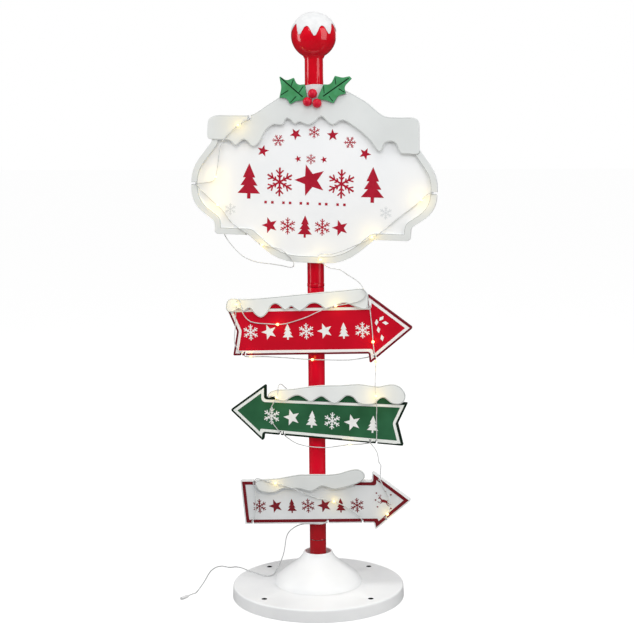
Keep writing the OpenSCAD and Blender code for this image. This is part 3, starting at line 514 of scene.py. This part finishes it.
bright_paint = red_powder_paint("bright_red_powder_paint", "#D80022", "#E60028")
deep_paint = red_powder_paint("deep_red_powder_paint", "#C0001C", "#CE0021")
steel = drawn_steel()
for part in ("lower_pole", "middle_pole"):
    smoothed(part, "painted_" + part, bright_paint)
for part in ("upper_pole", "middle_sleeve"):
    smoothed(part, "painted_" + part, deep_paint)
for part in ("lower_sleeve", "upper_sleeve"):
    smoothed(part, "drawn_" + part, steel)
print("pole and sleeves painted")

# %% [markdown]
# The ball and its tube are one blow-moulded piece of glossy red plastic. A clear coat keeps the
# highlights sharp over a softer red. The snow on top is a thin matt shell with a flock on it.
# Its drips are in the solid, and more faces could round them, but smooth shading up to a steep
# angle gives the same soft look for nothing.

# %% The finial
STEEP_DEGREES = 60

# Glass-like gloss on a slightly wavy skin, which bends the reflections a little
glossy_red_styrene = even_finish(
    "glossy_red_styrene", (30, "#D2001A", "#E00020"), (9.0, 0.08, 0.12),
    roughness=0.3, shine=0.1, coat=1.0, coat_roughness=0.04, ior=1.59)
# Short pale fibres: light spreads evenly over them, without a highlight
snow_flock = even_finish(
    "bright_snow_flock", (9, "#DEDFE0", "#E8E9E9"), (0.8, 0.15, 0.35), roughness=0.85, shine=0.3)
smoothed("finial", "glossy_finial", glossy_red_styrene)
smoothed("finial_snow", "snow_on_ball", snow_flock, STEEP_DEGREES)

# %% [markdown]
# The plaque is a smooth white panel with a raised rim and a cap of snow. The rim and the snow
# are the same pale grey, a little darker than the panel, so that the panel reads as lit. Shading
# alone would set them off too weakly, so each gets a thin line of painted shade: a dark one inside
# the rim and a pale one along the drips of the snow.

# %% The plaque
PLAQUE_Z = 650
ROUND_MM = 0.8
EDGE_SHADE_MM, RIM_EDGE_SHADE_MM = 0.7, 0.4
DRIPS_HALF_WIDTH_MM = 150
LOOKS_UP = 0.3


def matt_vinyl_foam(name, low, high):
    # Pale foam with closed cells, so light scatters evenly, with pores of about a millimetre
    return even_finish(name, (60, low, high), (1.0, 0.12, 0.3), roughness=0.75, shine=0.3)


def edge_shade_paint(name, low, high):
    # Painted shade: flat grey with hardly any gloss, laid where a thin shadow falls beside a wall
    return even_finish(name, (5, low, high), roughness=0.6, shine=0.2)


def faces_the_panel(place, normal):
    # A wall whose normal points to the middle of the plaque
    return normal.x * -place.x + normal.z * (PLAQUE_Z * MM - place.z) > 0


def drips_down(place, normal):
    # A wall along the lower edge of the snow, but not at its ends
    return normal.z < LOOKS_UP and abs(place.x) < DRIPS_HALF_WIDTH_MM * MM


grey_snow = matt_vinyl_foam("matt_grey_vinyl_foam", "#DADDDC", "#E1E4E3")
# Even, faintly blue white with a satin gloss, smooth enough to print on
satin_white_styrene = even_finish(
    "satin_white_styrene", (80, "#F4F6F8", "#FAFBFC"), (1.4, 0.05, 0.2),
    roughness=0.42, shine=0.4, coat=0.1, coat_roughness=0.25, ior=1.59)
moulded("plaque_panel", "moulded_panel", satin_white_styrene, ROUND_MM)
rim = moulded("plaque_rim", "moulded_rim", grey_snow, ROUND_MM)
cap = moulded("plaque_snow", "plaque_snow_cap", grey_snow, ROUND_MM)
# Painted shade: a dark line inside the rim and a pale one under the drips of the snow cap
dark_edge_shade = edge_shade_paint("painted_shade_inside_rim", "#6C7270", "#7C8280")
pale_edge_shade = edge_shade_paint("painted_shade_under_plaque_drips", "#B6BAB9", "#C2C6C5")
paint_edge_shade(rim, dark_edge_shade, RIM_EDGE_SHADE_MM, faces_the_panel)
paint_edge_shade(cap, pale_edge_shade, EDGE_SHADE_MM, drips_down)

# %% [markdown]
# Each arrow is cut from foamed vinyl board and painted. Its back and its face have one colour.
# The sides have a second one, which also covers a sunk margin along the edge, and the border
# line, a little proud of the face, has a third. Each could be a piece of its own, but they lie
# at different depths, so masks along Y give all of them to one material.

# %% The arrow boards
BACK_MM = (-13.3, -13.6)
SIDE_MM = (-20.95, -21.1)
LINE_MM = (-21.45, -21.55)
BOARD_ROUND_MM = 0.4


def painted_vinyl_board(name, low, high, side, line):
    # Thin satin paint on foam: full colour, weak gloss and a trace of the foam's grain.
    # From the back to the front come the face's colour, the sides', the face's and the line's
    material, tree, shader, place = start_material(name, roughness=0.55, shine=0.15)
    face = colour_drift(tree, place, 40, low, high)
    from_back = add_node(
        tree, "ShaderNodeMix", {MIX_OVER: linear(side)},
        {"Factor": past(tree, place, "Y", *BACK_MM), MIX_UNDER: face}, data_type="RGBA")
    from_sides = add_node(
        tree, "ShaderNodeMix", None,
        {"Factor": past(tree, place, "Y", *SIDE_MM), MIX_UNDER: from_back.outputs[MIX_RESULT],
         MIX_OVER: face}, data_type="RGBA")
    from_line = add_node(
        tree, "ShaderNodeMix", {MIX_OVER: linear(line)},
        {"Factor": past(tree, place, "Y", *LINE_MM), MIX_UNDER: from_sides.outputs[MIX_RESULT]},
        data_type="RGBA")
    tree.links.new(from_line.outputs[MIX_RESULT], shader.inputs["Base Color"])
    add_grain(tree, shader, place, 1.3, 0.06, 0.25)
    return material


white_snow = matt_vinyl_foam("matt_white_vinyl_foam", "#E6E9E8", "#EDF0EF")
# Painted shade under the drips of the arrows' snow
grey_edge_shade = edge_shade_paint("painted_shade_under_arrow_drips", "#9A9F9E", "#AAAFAD")
arrows = {}
for colour, paints, foam in (
        ("red", ("red_painted_vinyl_board", "#C2001F", "#CE0025", "#7A0A1E", "#F4F1F0"), white_snow),
        ("green", ("green_painted_vinyl_board", "#265A3A", "#316A48", "#0D2617", "#EFF2EE"), white_snow),
        ("white", ("grey_painted_vinyl_board", "#D6D9DA", "#E0E2E3", "#ECEEEE", "#741620"), grey_snow)):
    node_name, slot = colour + "_arrow", colour + "_board"
    arrows[colour] = moulded(
        node_name, "painted_" + node_name, painted_vinyl_board(*paints), BOARD_ROUND_MM,
        segments=2)
    cap = moulded(node_name + "_snow", node_name + "_snow_cap", foam, ROUND_MM)
    # Painted shade under the drips of this snow cap
    paint_edge_shade(cap, grey_edge_shade, EDGE_SHADE_MM, drips_down)

# %% [markdown]
# On the red and the green board the dark paint of the margin laps over the outer edge of the
# border line. The line's faces could be inset to colour a strip of them, but they are long and
# bent, and an inset folds them over at the corners. So the lap is a thin piece of its own: the
# low walls between margin and line are copied, and Solidify thickens them over the line.

# %% The margin laps
LOW_WALL_MM = (-21.33, -21.1)
LOW_WALL_SLANT = 0.1
LAP_MM, LAP_FILM_MM, LAP_MERGE_MM = 0.7, 0.03, 0.3


def margin_paint(name, low, high):
    # The same thin satin paint as on the sides, nearly as dark
    return even_finish(name, (12, low, high), roughness=0.55, shine=0.15)


def is_low_wall(face):
    # True for the steps between the margin and the border line
    depth = face.calc_center_median().y / MM
    return LOW_WALL_MM[0] < depth < LOW_WALL_MM[1] and abs(face.normal.y) < LOW_WALL_SLANT


def lap_margin(arrow, name, paint):
    piece = bpy.data.objects.new(name, arrow.data.copy())
    bpy.context.scene.collection.objects.link(piece)
    activate(piece)
    bpy.ops.object.mode_set(mode="EDIT")
    bpy.ops.mesh.select_mode(type="FACE")
    bpy.ops.mesh.select_all(action="DESELECT")
    mesh = bmesh.from_edit_mesh(piece.data)
    for face in mesh.faces:
        face.select_set(not is_low_wall(face))
    bmesh.update_edit_mesh(piece.data)
    bpy.ops.mesh.delete(type="FACE")
    bpy.ops.mesh.select_all(action="SELECT")
    bpy.ops.mesh.remove_doubles(threshold=LAP_MERGE_MM * MM)
    bpy.ops.object.mode_set(mode="OBJECT")
    lap = piece.modifiers.new("lap", "SOLIDIFY")
    lap.thickness = LAP_MM * MM
    lap.offset = -1
    lap.use_even_offset = True
    bpy.ops.object.modifier_apply(modifier=lap.name)
    piece.data.transform(Matrix.Translation((0, -LAP_FILM_MM * MM, 0)))
    piece.data.materials.clear()
    piece.data.materials.append(paint)
    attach(piece, "root")
    print(name, "faces:", len(piece.data.polygons))


red_margin = margin_paint("red_margin_paint", "#8C0E26", "#9A132C")
green_margin = margin_paint("green_margin_paint", "#173825", "#20442F")
lap_margin(arrows["red"], "red_margin_lap", red_margin)
lap_margin(arrows["green"], "green_margin_lap", green_margin)

# %% [markdown]
# The holly leaves are flat plastic with sunk veins. The veins collect dark ink. A picture could
# show them, but depth along Y finds them exactly, because they are the only part of the front
# that lies deeper.

# %% The holly
VEIN_MM = (-26.35, -26.65)
LEAF_ROUND_MM = 0.3


def inked_green_plastic():
    # Mid green with a dull sheen, and nearly black where ink stays in the veins
    material, tree, shader, place = start_material("inked_green_plastic", roughness=0.5, shine=0.2)
    face = colour_drift(tree, place, 12, "#3F8A55", "#4E9E6C")
    with_veins = add_node(
        tree, "ShaderNodeMix", {MIX_UNDER: linear("#052B10")},
        {"Factor": past(tree, place, "Y", *VEIN_MM), MIX_OVER: face}, data_type="RGBA")
    tree.links.new(with_veins.outputs[MIX_RESULT], shader.inputs["Base Color"])
    add_grain(tree, shader, place, 1.6, 0.1, 0.3)
    return material


leaf = inked_green_plastic()
# Bright red with one soft highlight on each berry
berry_red = even_finish(
    "glossy_berry_red", (6, "#C80A2C", "#D61236"), (2.5, 0.06, 0.2),
    roughness=0.4, shine=0.25, coat=0.15, coat_roughness=0.1)
moulded("holly_leaf_left", "left_holly_leaf", leaf, LEAF_ROUND_MM, segments=2)
moulded("holly_leaf_right", "right_holly_leaf", leaf, LEAF_ROUND_MM, segments=2)
smoothed("holly_berries", "glossy_berries", berry_red, STEEP_DEGREES)

# %% [markdown]
# Behind the boards, moulded saddle clips hold them on the pole. Their plastic is dyed red to
# match it, and the screws are zinc plated. They only show from behind, and their forms are all
# in the solids, so they need no more than a finish each.

# %% The clips and screws
# Dull even red, the same all through, with a fine mould grain
nylon = even_finish(
    "dyed_nylon", (15, "#A80D22", "#B81228"), (0.9, 0.06, 0.3), roughness=0.5, shine=0.3)
# Pale metal, slightly cloudy, with highlights that are never quite sharp
zinc_plate = even_finish(
    "zinc_plate", (2.5, "#A9ACAE", "#C9CBCC"), (0.8, 0.03, 0.3), roughness=0.35, metallic=1.0)
for clip in ("plaque_clip_top", "plaque_clip_bottom", "red_clip", "green_clip", "white_clip"):
    smoothed(clip, "dyed_" + clip, nylon)
smoothed("clip_screws", "zinc_screws", zinc_plate)

# %% [markdown]
# The light string is one wire with drops of clear resin on it, each over a small warm light. A
# bright spot could be modelled inside a clear drop, but at this size the whole drop looks lit,
# so its surface glows. The wire bends sharply in places, and smooth shading up to 80 degrees
# keeps it round there. The connector at the end of the lead keeps its solid and gets a colour.

# %% The light string
GLOW = "#FFE08A"
GLOW_STRENGTH = 1.8
WIRE_DEGREES = 80


def lit_resin():
    # Warm and bright all over, with a wet highlight, as if the light sat in the drop
    material, tree, shader, place = start_material("lit_resin", roughness=0.15, coat=0.4, ior=1.54)
    colour = colour_drift(tree, place, 3, "#FFE7A0", "#FFF6D8")
    tree.links.new(colour, shader.inputs["Base Color"])
    shader.inputs["Emission Color"].default_value = linear(GLOW)
    shader.inputs["Emission Strength"].default_value = GLOW_STRENGTH
    return material


smoothed("light_string", "vinyl_wire", wire_finish, WIRE_DEGREES)
beads = smoothed("light_beads", "resin_drops", lit_resin(), STEEP_DEGREES)
# Plain white with a mild gloss, a shade greyer than the base
connector_white = even_finish(
    "white_connector_plastic", (8, "#E2E3E4", "#ECEDED"), (0.9, 0.05, 0.3), roughness=0.4, shine=0.4)
nodes["lead_plug"].data.materials.clear()
nodes["lead_plug"].data.materials.append(connector_white)

# %% [markdown]
# Each drop warms the board around it. The glow of the drops could do that too, but so small a
# source would leave the picture full of specks. So a weak lamp hangs just in front of each drop.
# On snow and on the plaque the halo is wide, and on paint it is small.

# %% The glow around the drops
LAMP_COLOUR = "#FFD95A"
LAMP_RADIUS_MM = 1.5
WIDE_WATTS, WIDE_AHEAD_MM = 0.0065, 15.0
SMALL_WATTS, SMALL_AHEAD_MM = 0.003, 10.0
PALE_HEIGHTS_MM = ((300, 360), (445, 914))


def add_glow_lamps(beads):
    # One lamp for each drop, found by taking a copy of the drops apart
    copy = bpy.data.objects.new("drop_copy", beads.data.copy())
    bpy.context.scene.collection.objects.link(copy)
    activate(copy)
    bpy.ops.object.mode_set(mode="EDIT")
    bpy.ops.mesh.select_all(action="SELECT")
    bpy.ops.mesh.separate(type="LOOSE")
    bpy.ops.object.mode_set(mode="OBJECT")
    drops = list(bpy.context.selected_objects)
    for i, drop in enumerate(drops):
        places = [v.co for v in drop.data.vertices]
        middle = sum(places, Vector()) / len(places)
        data = bpy.data.lights.new(f"glow_{i}", "POINT")
        wide = any(low < middle.z / MM < high for low, high in PALE_HEIGHTS_MM)
        data.energy = WIDE_WATTS if wide else SMALL_WATTS
        ahead_mm = WIDE_AHEAD_MM if wide else SMALL_AHEAD_MM
        data.color = linear(LAMP_COLOUR)[:3]
        data.shadow_soft_size = LAMP_RADIUS_MM * MM
        lamp = bpy.data.objects.new(f"glow_{i}", data)
        lamp.location = middle + Vector((0, -ahead_mm * MM, 0))
        bpy.context.scene.collection.objects.link(lamp)
        bpy.data.objects.remove(drop)
    return len(drops)


print("glowing drops:", add_glow_lamps(beads))

# %% [markdown]
# The faces carry printed ornaments: stars, snowflakes, fir trees, dots and lozenges, and a small
# leaping deer. A picture on each board could show them, but shapes stay sharp from close by and
# need no unwrapping. Each kind is modelled once, about 1 unit in radius, from flat primitives
# that the extrude operator gives a thickness. Where such blocks cross, one lies a little lower,
# so that no two tops fight for the same place. Copies are then scaled and laid on the board's
# face as a skin of ink, each copy with its own mesh.

# %% Flat building blocks
def finish_flat(height):
    # Gives the new flat shape its thickness, and returns its object
    bpy.ops.object.mode_set(mode="EDIT")
    bpy.ops.mesh.select_all(action="SELECT")
    bpy.ops.mesh.extrude_region_move(TRANSFORM_OT_translate={"value": (0, 0, height)})
    bpy.ops.mesh.select_all(action="SELECT")
    bpy.ops.mesh.normals_make_consistent(inside=False)
    bpy.ops.object.mode_set(mode="OBJECT")
    return bpy.context.object


def bar(start, end, width, height, taper=1.0):
    deselect_all()
    bpy.ops.mesh.primitive_plane_add(size=1)
    piece = finish_flat(height)
    a, b = Vector((*start, 0)), Vector((*end, 0))
    turn = math.atan2(b.y - a.y, b.x - a.x)
    for vertex in piece.data.vertices:
        narrow = taper if vertex.co.x > 0 else 1.0
        vertex.co.x *= (b - a).length
        vertex.co.y *= width * narrow
    piece.data.transform(Matrix.Translation((a + b) / 2) @ Matrix.Rotation(turn, 4, "Z"))
    return piece


def disc(middle, half_w, half_h, height, turn=0.0, sides=20):
    deselect_all()
    bpy.ops.mesh.primitive_circle_add(vertices=sides, radius=1, fill_type="NGON")
    piece = finish_flat(height)
    piece.data.transform(
        Matrix.Translation((*middle, 0)) @ Matrix.Rotation(math.radians(turn), 4, "Z")
        @ Matrix.Diagonal((half_w, half_h, 1, 1)))
    return piece


def join(pieces, name):
    deselect_all()
    for piece in pieces:
        piece.select_set(True)
    bpy.context.view_layer.objects.active = pieces[0]
    if len(pieces) > 1:
        bpy.ops.object.join()
    pieces[0].name = name
    return pieces[0]


print("flat building blocks: bars and discs")

# %% The ornaments, each modelled once
STAR_WAIST = 0.42


def make_star():
    deselect_all()
    bpy.ops.mesh.primitive_circle_add(vertices=10, radius=1, fill_type="NGON")
    piece = bpy.context.object
    for i, vertex in enumerate(piece.data.vertices):
        if i % 2:
            vertex.co *= STAR_WAIST
    return join([finish_flat(1)], "star")


def make_flake():
    parts = []
    for i in range(6):
        spoke = [
            bar((0, 0), (0, 1), 0.13, 1 - 0.02 * i),
            bar((0, 0.55), (-0.26, 0.82), 0.1, 0.85 - 0.02 * i),
            bar((0, 0.55), (0.26, 0.82), 0.1, 0.85 - 0.02 * i),
            bar((0, 0.3), (-0.17, 0.47), 0.1, 0.8 - 0.02 * i),
            bar((0, 0.3), (0.17, 0.47), 0.1, 0.8 - 0.02 * i),
        ]
        for piece in spoke:
            piece.data.transform(Matrix.Rotation(math.radians(60 * i), 4, "Z"))
        parts += spoke
    return join(parts, "flake")


def make_tree():
    parts = [bar((0, -1.0), (0, -0.6), 0.2, 0.8)]
    for i, (low, high, half) in enumerate([(-0.7, 0.05, 0.66), (-0.25, 0.5, 0.5), (0.2, 1.0, 0.36)]):
        parts.append(bar((0, low), (0, high), 2 * half, 1 - 0.05 * i, taper=0.02))
    return join(parts, "tree")


def make_square():
    return join([bar((-0.5, 0), (0.5, 0), 1.0, 1)], "square")


def make_dot():
    return join([disc((0, 0), 1, 1, 1)], "dot")


def make_lozenge():
    piece = bar((-0.5, 0), (0.5, 0), 0.7, 1)
    for vertex in piece.data.vertices:
        vertex.co.x += 0.6 * vertex.co.y
    return join([piece], "lozenge")


ORNAMENTS = {
    "star": make_star(), "flake": make_flake(), "tree": make_tree(), "square": make_square(),
    "dot": make_dot(), "lozenge": make_lozenge(),
}
print("ornaments:", list(ORNAMENTS))

# %% [markdown]
# The deer leaps to the left. It could be one drawn outline, but tapered bars and ovals are easier
# to set right, and at its real size of 20 mm the eye joins them into one shape.

# %% The deer
def make_deer():
    parts = [
        disc((0.0, 0.0), 0.46, 0.2, 1.0, turn=-18),
        bar((-0.3, 0.1), (-0.52, 0.42), 0.2, 0.95, taper=0.7),
        disc((-0.62, 0.45), 0.17, 0.09, 0.9, turn=20),
        bar((-0.3, -0.02), (-0.72, -0.18), 0.11, 0.88, taper=0.6),
        bar((-0.72, -0.18), (-0.9, -0.04), 0.08, 0.86, taper=0.8),
        bar((-0.22, -0.08), (-0.56, -0.36), 0.11, 0.84, taper=0.6),
        bar((0.3, -0.12), (0.62, -0.42), 0.13, 0.82, taper=0.6),
        bar((0.62, -0.42), (0.94, -0.5), 0.08, 0.8, taper=0.8),
        bar((0.24, -0.16), (0.42, -0.56), 0.13, 0.78, taper=0.6),
        bar((0.42, -0.56), (0.72, -0.72), 0.08, 0.76, taper=0.8),
        bar((0.38, 0.0), (0.52, 0.1), 0.1, 0.74, taper=0.5),
        bar((-0.54, 0.5), (-0.42, 0.92), 0.06, 0.72),
        bar((-0.49, 0.68), (-0.3, 0.76), 0.05, 0.7),
        bar((-0.58, 0.5), (-0.68, 0.88), 0.06, 0.68),
        bar((-0.63, 0.7), (-0.78, 0.78), 0.05, 0.66),
    ]
    return join(parts, "deer")


ORNAMENTS["deer"] = make_deer()
print("deer faces:", len(ORNAMENTS["deer"].data.polygons))

# %% [markdown]
# Each board has a place and a tilt of its own. Each copy could be turned by hand, but one matrix
# does it for a whole board: it turns a place on the board, in millimetres, into a place on the
# sign. X stays across, Y of the ornament becomes height, and its thickness points to the viewer.

# %% Printing on a board
INK_MM = 0.12
PLAQUE_TILT, PANEL_Y = -1.9, -18.2
RED_Z, RED_TILT = 430, 2.1
GREEN_Z, GREEN_TILT = 293, -3.3
WHITE_Z, WHITE_TILT = 158, 2.8
BOARD_Y = -21.2


def screen_ink(name, low, high):
    # Solvent ink through a mesh: flat, slightly uneven, duller than the paint under it
    return even_finish(name, (7, low, high), (0.9, 0.04, 0.25), roughness=0.55, shine=0.2)


def print_on(name, ink_or_shade, height, tilt, face_y, rows):
    board = (
        Matrix.Translation((0, face_y * MM, height * MM))
        @ Matrix.Rotation(math.radians(-tilt), 4, "Y")
        @ Matrix.Rotation(math.radians(90), 4, "X"))
    copies = []
    for kind, x, z, radius, turn in rows:
        piece = bpy.data.objects.new(kind + "_copy", ORNAMENTS[kind].data.copy())
        bpy.context.scene.collection.objects.link(piece)
        piece.data.transform(
            board @ Matrix.Translation((x * MM, z * MM, 0))
            @ Matrix.Rotation(math.radians(turn), 4, "Z")
            @ Matrix.Diagonal((radius * MM, radius * MM, INK_MM * MM, 1)))
        copies.append(piece)
    piece = join(copies, name)
    piece.data.materials.clear()
    piece.data.materials.append(ink_or_shade)
    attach(piece, "root")
    print(name, "ornaments:", len(rows))


print("ink thickness:", INK_MM, "mm")

# %% [markdown]
# The plaque has an arc of small stars and flakes, four rows below it and a pale flake near each
# lower corner. A loop over angles lays out the arc. Every row is a list of kind, place, radius
# and turn, because a list is the quickest thing to change.

# %% The ornaments on the plaque
ARC_TOP, ARC_RADIUS = 83, 118
STAR_TURN = 18
red_ink = screen_ink("red_screen_ink", "#A8102A", "#B41832")
grey_ink = screen_ink("grey_screen_ink", "#D5D9DC", "#DFE2E4")

arc_row = []
for i, angle in enumerate(range(-42, 43, 14)):
    kind = ("star", "flake")[i % 2]
    x = ARC_RADIUS * math.sin(math.radians(angle))
    z = ARC_TOP - ARC_RADIUS * (1 - math.cos(math.radians(angle)))
    arc_row.append((kind, x, z, 9.5, -angle + (STAR_TURN if kind == "star" else 0)))
small_row = [
    ("star", -24, 42, 5.5, STAR_TURN), ("flake", -4, 42, 8, 0), ("star", 16, 42, 5.5, STAR_TURN)]
middle_row = [
    ("tree", -100, 6, 27, 0), ("flake", -52, 6, 22, 0), ("star", -4, 10, 25, STAR_TURN),
    ("flake", 44, 6, 22, 0), ("tree", 92, 6, 27, 0),
]
square_row = [
    ("square", x, -25.5, 4, 0) for x in (-73.3, -62.7, -45.3, -34.9, -18.2, -7.4, 11.2, 21.3, 38.9, 49.4)]
low_row = [
    ("star", -66, -61, 13, STAR_TURN), ("flake", -38, -61, 13, 0), ("tree", -11, -61, 17, 0),
    ("flake", 16, -61, 13, 0), ("star", 44, -61, 13, STAR_TURN)]
print_on(
    "plaque_print", red_ink, PLAQUE_Z, PLAQUE_TILT, PANEL_Y,
    arc_row + small_row + middle_row + square_row + low_row)
print_on(
    "plaque_pale_print", grey_ink, PLAQUE_Z, PLAQUE_TILT, PANEL_Y,
    [("flake", 113.3, -35.6, 10, 0), ("flake", -128.7, -38.4, 9.5, 0)])

# %% [markdown]
# Each arrow has one row in which flakes, stars and trees take turns. The red one ends in a cane
# of lozenges, and the white one in a small deer with dots around it. One function spaces the
# rows evenly, since only their ends and sizes differ.

# %% The ornaments on the arrows
white_ink = screen_ink("white_screen_ink", "#ECEDEC", "#F4F4F3")
maroon_ink = screen_ink("maroon_screen_ink", "#741620", "#82202A")
KINDS = ("flake", "star", "tree")


def ornament_row(first_x, last_x, z, radius, count):
    step = (last_x - first_x) / (count - 1)
    rows = []
    for i in range(count):
        kind = KINDS[i % len(KINDS)]
        rows.append((kind, first_x + i * step, z, radius, STAR_TURN if kind == "star" else 0))
    return rows


candy_cane = [
    ("lozenge", 106, 15.6, 6.5, 20), ("lozenge", 98.2, 9.6, 6.5, 60), ("lozenge", 111.9, 8.4, 6.5, -35),
    ("lozenge", 100.8, -1.9, 6.5, 70), ("lozenge", 105.8, -14.6, 6.5, 70)]
deer = [("deer", 109, -1, 11.5, 0)]
deer_dots = [
    ("dot", x, z, 1.3, 0)
    for x, z in ((95.5, 1), (97.5, 12), (98, -10), (120, 9), (119, -13), (112, 15))]

print_on(
    "red_arrow_print", white_ink, RED_Z, RED_TILT, BOARD_Y,
    ornament_row(-100, 76, -2, 12.5, 7) + candy_cane)
print_on(
    "green_arrow_print", white_ink, GREEN_Z, GREEN_TILT, BOARD_Y,
    ornament_row(-68, 92, -4, 13.5, 6))
print_on(
    "white_arrow_print", maroon_ink, WHITE_Z, WHITE_TILT, BOARD_Y,
    ornament_row(-90, 66, -7, 11.5, 7) + deer + deer_dots)
for pattern in ORNAMENTS.values():
    bpy.data.objects.remove(pattern)

# %% [markdown]
# The studio is a white floor, an even white sky and a few soft lamps. A lit white floor alone
# would look grey in places, so it also glows. The camera sees the floor and the sky as white,
# while the shiny pieces see a darker room, as they would behind a real camera. That keeps the
# reds deep and leaves clear highlights from the lamps. Under the base the floor doesn't glow, so
# that the peg holes look dark.

# %% The floor
FLOOR_GLOW = 0.86
FLOOR_ALBEDO = 0.3
FLOOR_BOUNCE = 0.45
FLOOR_SHEEN = 0.08
FLOOR_SIZE = 40
DARK_FLOOR_R = 0.128


def seen_directly(tree, path):
    # 1 for rays of the camera, also where they have passed through something clear
    return add_node(
        tree, "ShaderNodeMath", operation="MAXIMUM",
        links={0: path.outputs["Is Camera Ray"], 1: path.outputs["Is Transmission Ray"]}).outputs[0]


def outside_circle(tree, radius):
    # 0 under the base and 1 outside it
    place = add_node(tree, "ShaderNodeTexCoord").outputs["Object"]
    from_middle = add_node(tree, "ShaderNodeVectorMath", operation="LENGTH", links={0: place})
    return add_node(
        tree, "ShaderNodeMath", {1: radius}, {0: from_middle.outputs["Value"]},
        operation="GREATER_THAN").outputs[0]


def studio_floor():
    deselect_all()
    bpy.ops.mesh.primitive_plane_add(size=FLOOR_SIZE, location=(0, 0, 0))
    floor = bpy.context.object
    floor.name = "studio_floor"
    material = bpy.data.materials.new("white_paper_floor")
    material.use_nodes = True
    tree = material.node_tree
    tree.nodes.clear()
    path = add_node(tree, "ShaderNodeLightPath")
    seen = seen_directly(tree, path)
    glow = add_node(tree, "ShaderNodeEmission", {"Strength": FLOOR_GLOW})
    bounce = add_node(tree, "ShaderNodeBsdfDiffuse", {"Color": (*[FLOOR_BOUNCE] * 3, 1)})
    dark = add_node(tree, "ShaderNodeBsdfDiffuse", {"Color": (*[FLOOR_SHEEN] * 3, 1)})
    weak = add_node(tree, "ShaderNodeBsdfDiffuse", {"Color": (*[FLOOR_ALBEDO] * 3, 1)})
    both = add_node(tree, "ShaderNodeAddShader", links={0: glow.outputs[0], 1: weak.outputs[0]})
    shown = add_node(
        tree, "ShaderNodeMixShader",
        links={0: outside_circle(tree, DARK_FLOOR_R), 1: weak.outputs[0], 2: both.outputs[0]})
    around = add_node(
        tree, "ShaderNodeMixShader",
        links={0: path.outputs["Is Glossy Ray"], 1: bounce.outputs[0], 2: dark.outputs[0]})
    choice = add_node(
        tree, "ShaderNodeMixShader", links={0: seen, 1: around.outputs[0], 2: shown.outputs[0]})
    add_node(tree, "ShaderNodeOutputMaterial", links={"Surface": choice.outputs[0]})
    floor.data.materials.append(material)


studio_floor()
print("floor glow:", FLOOR_GLOW, "without glow within", DARK_FLOOR_R, "m")

# %% [markdown]
# The sky lights the sign evenly from all sides. A picture of a room could do it, but its colours
# would show in the gloss. This one is plain, white for the camera and nearly dark for gloss.

# %% The sky
SKY_STRENGTH = 0.42
SKY_SHEEN = 0.06


def studio_sky():
    world = bpy.data.worlds.new("studio_sky")
    world.use_nodes = True
    bpy.context.scene.world = world
    tree = world.node_tree
    tree.nodes.clear()
    path = add_node(tree, "ShaderNodeLightPath")
    white = (1, 1, 1, 1)
    light = add_node(tree, "ShaderNodeBackground", {"Color": white, "Strength": SKY_STRENGTH})
    sheen = add_node(tree, "ShaderNodeBackground", {"Color": white, "Strength": SKY_SHEEN})
    backdrop = add_node(tree, "ShaderNodeBackground", {"Color": white, "Strength": 1.0})
    around = add_node(
        tree, "ShaderNodeMixShader",
        links={0: path.outputs["Is Glossy Ray"], 1: light.outputs[0], 2: sheen.outputs[0]})
    seen = seen_directly(tree, path)
    choice = add_node(
        tree, "ShaderNodeMixShader", links={0: seen, 1: around.outputs[0], 2: backdrop.outputs[0]})
    add_node(tree, "ShaderNodeOutputWorld", links={"Surface": choice.outputs[0]})


studio_sky()
print("sky strength:", SKY_STRENGTH)

# %% [markdown]
# Five lamps stand around the sign: a wide one in front and above, one overhead, a tall one at
# each side and one behind. Point lamps would throw hard shadows on the boards. Area lamps throw
# soft ones, and the tall ones show in the ball as two windows.

# %% The lamps
def add_soft_lamp(name, place, aim, size, watts):
    data = bpy.data.lights.new(name, "AREA")
    data.shape = "RECTANGLE"
    data.size, data.size_y = size
    data.energy = watts
    lamp = bpy.data.objects.new(name, data)
    lamp.location = place
    lamp.rotation_euler = (Vector(aim) - Vector(place)).to_track_quat("-Z", "Y").to_euler()
    bpy.context.scene.collection.objects.link(lamp)
    print(name, "lamp:", watts, "watts")


add_soft_lamp("key", (0.15, -1.6, 2.0), (0, 0, 0.55), (1.5, 0.9), 15.5)
add_soft_lamp("top", (0.1, -0.65, 2.4), (0, 0, 0.3), (0.9, 0.5), 8)
add_soft_lamp("right_window", (1.42, -0.72, 1.0), (0, 0, 0.75), (0.9, 1.5), 10)
add_soft_lamp("left_window", (-1.43, -0.46, 0.95), (0, 0, 0.7), (0.45, 1.5), 9)
add_soft_lamp("back", (0.3, 1.9, 1.4), (0, 0, 0.5), (1.2, 1.2), 6)
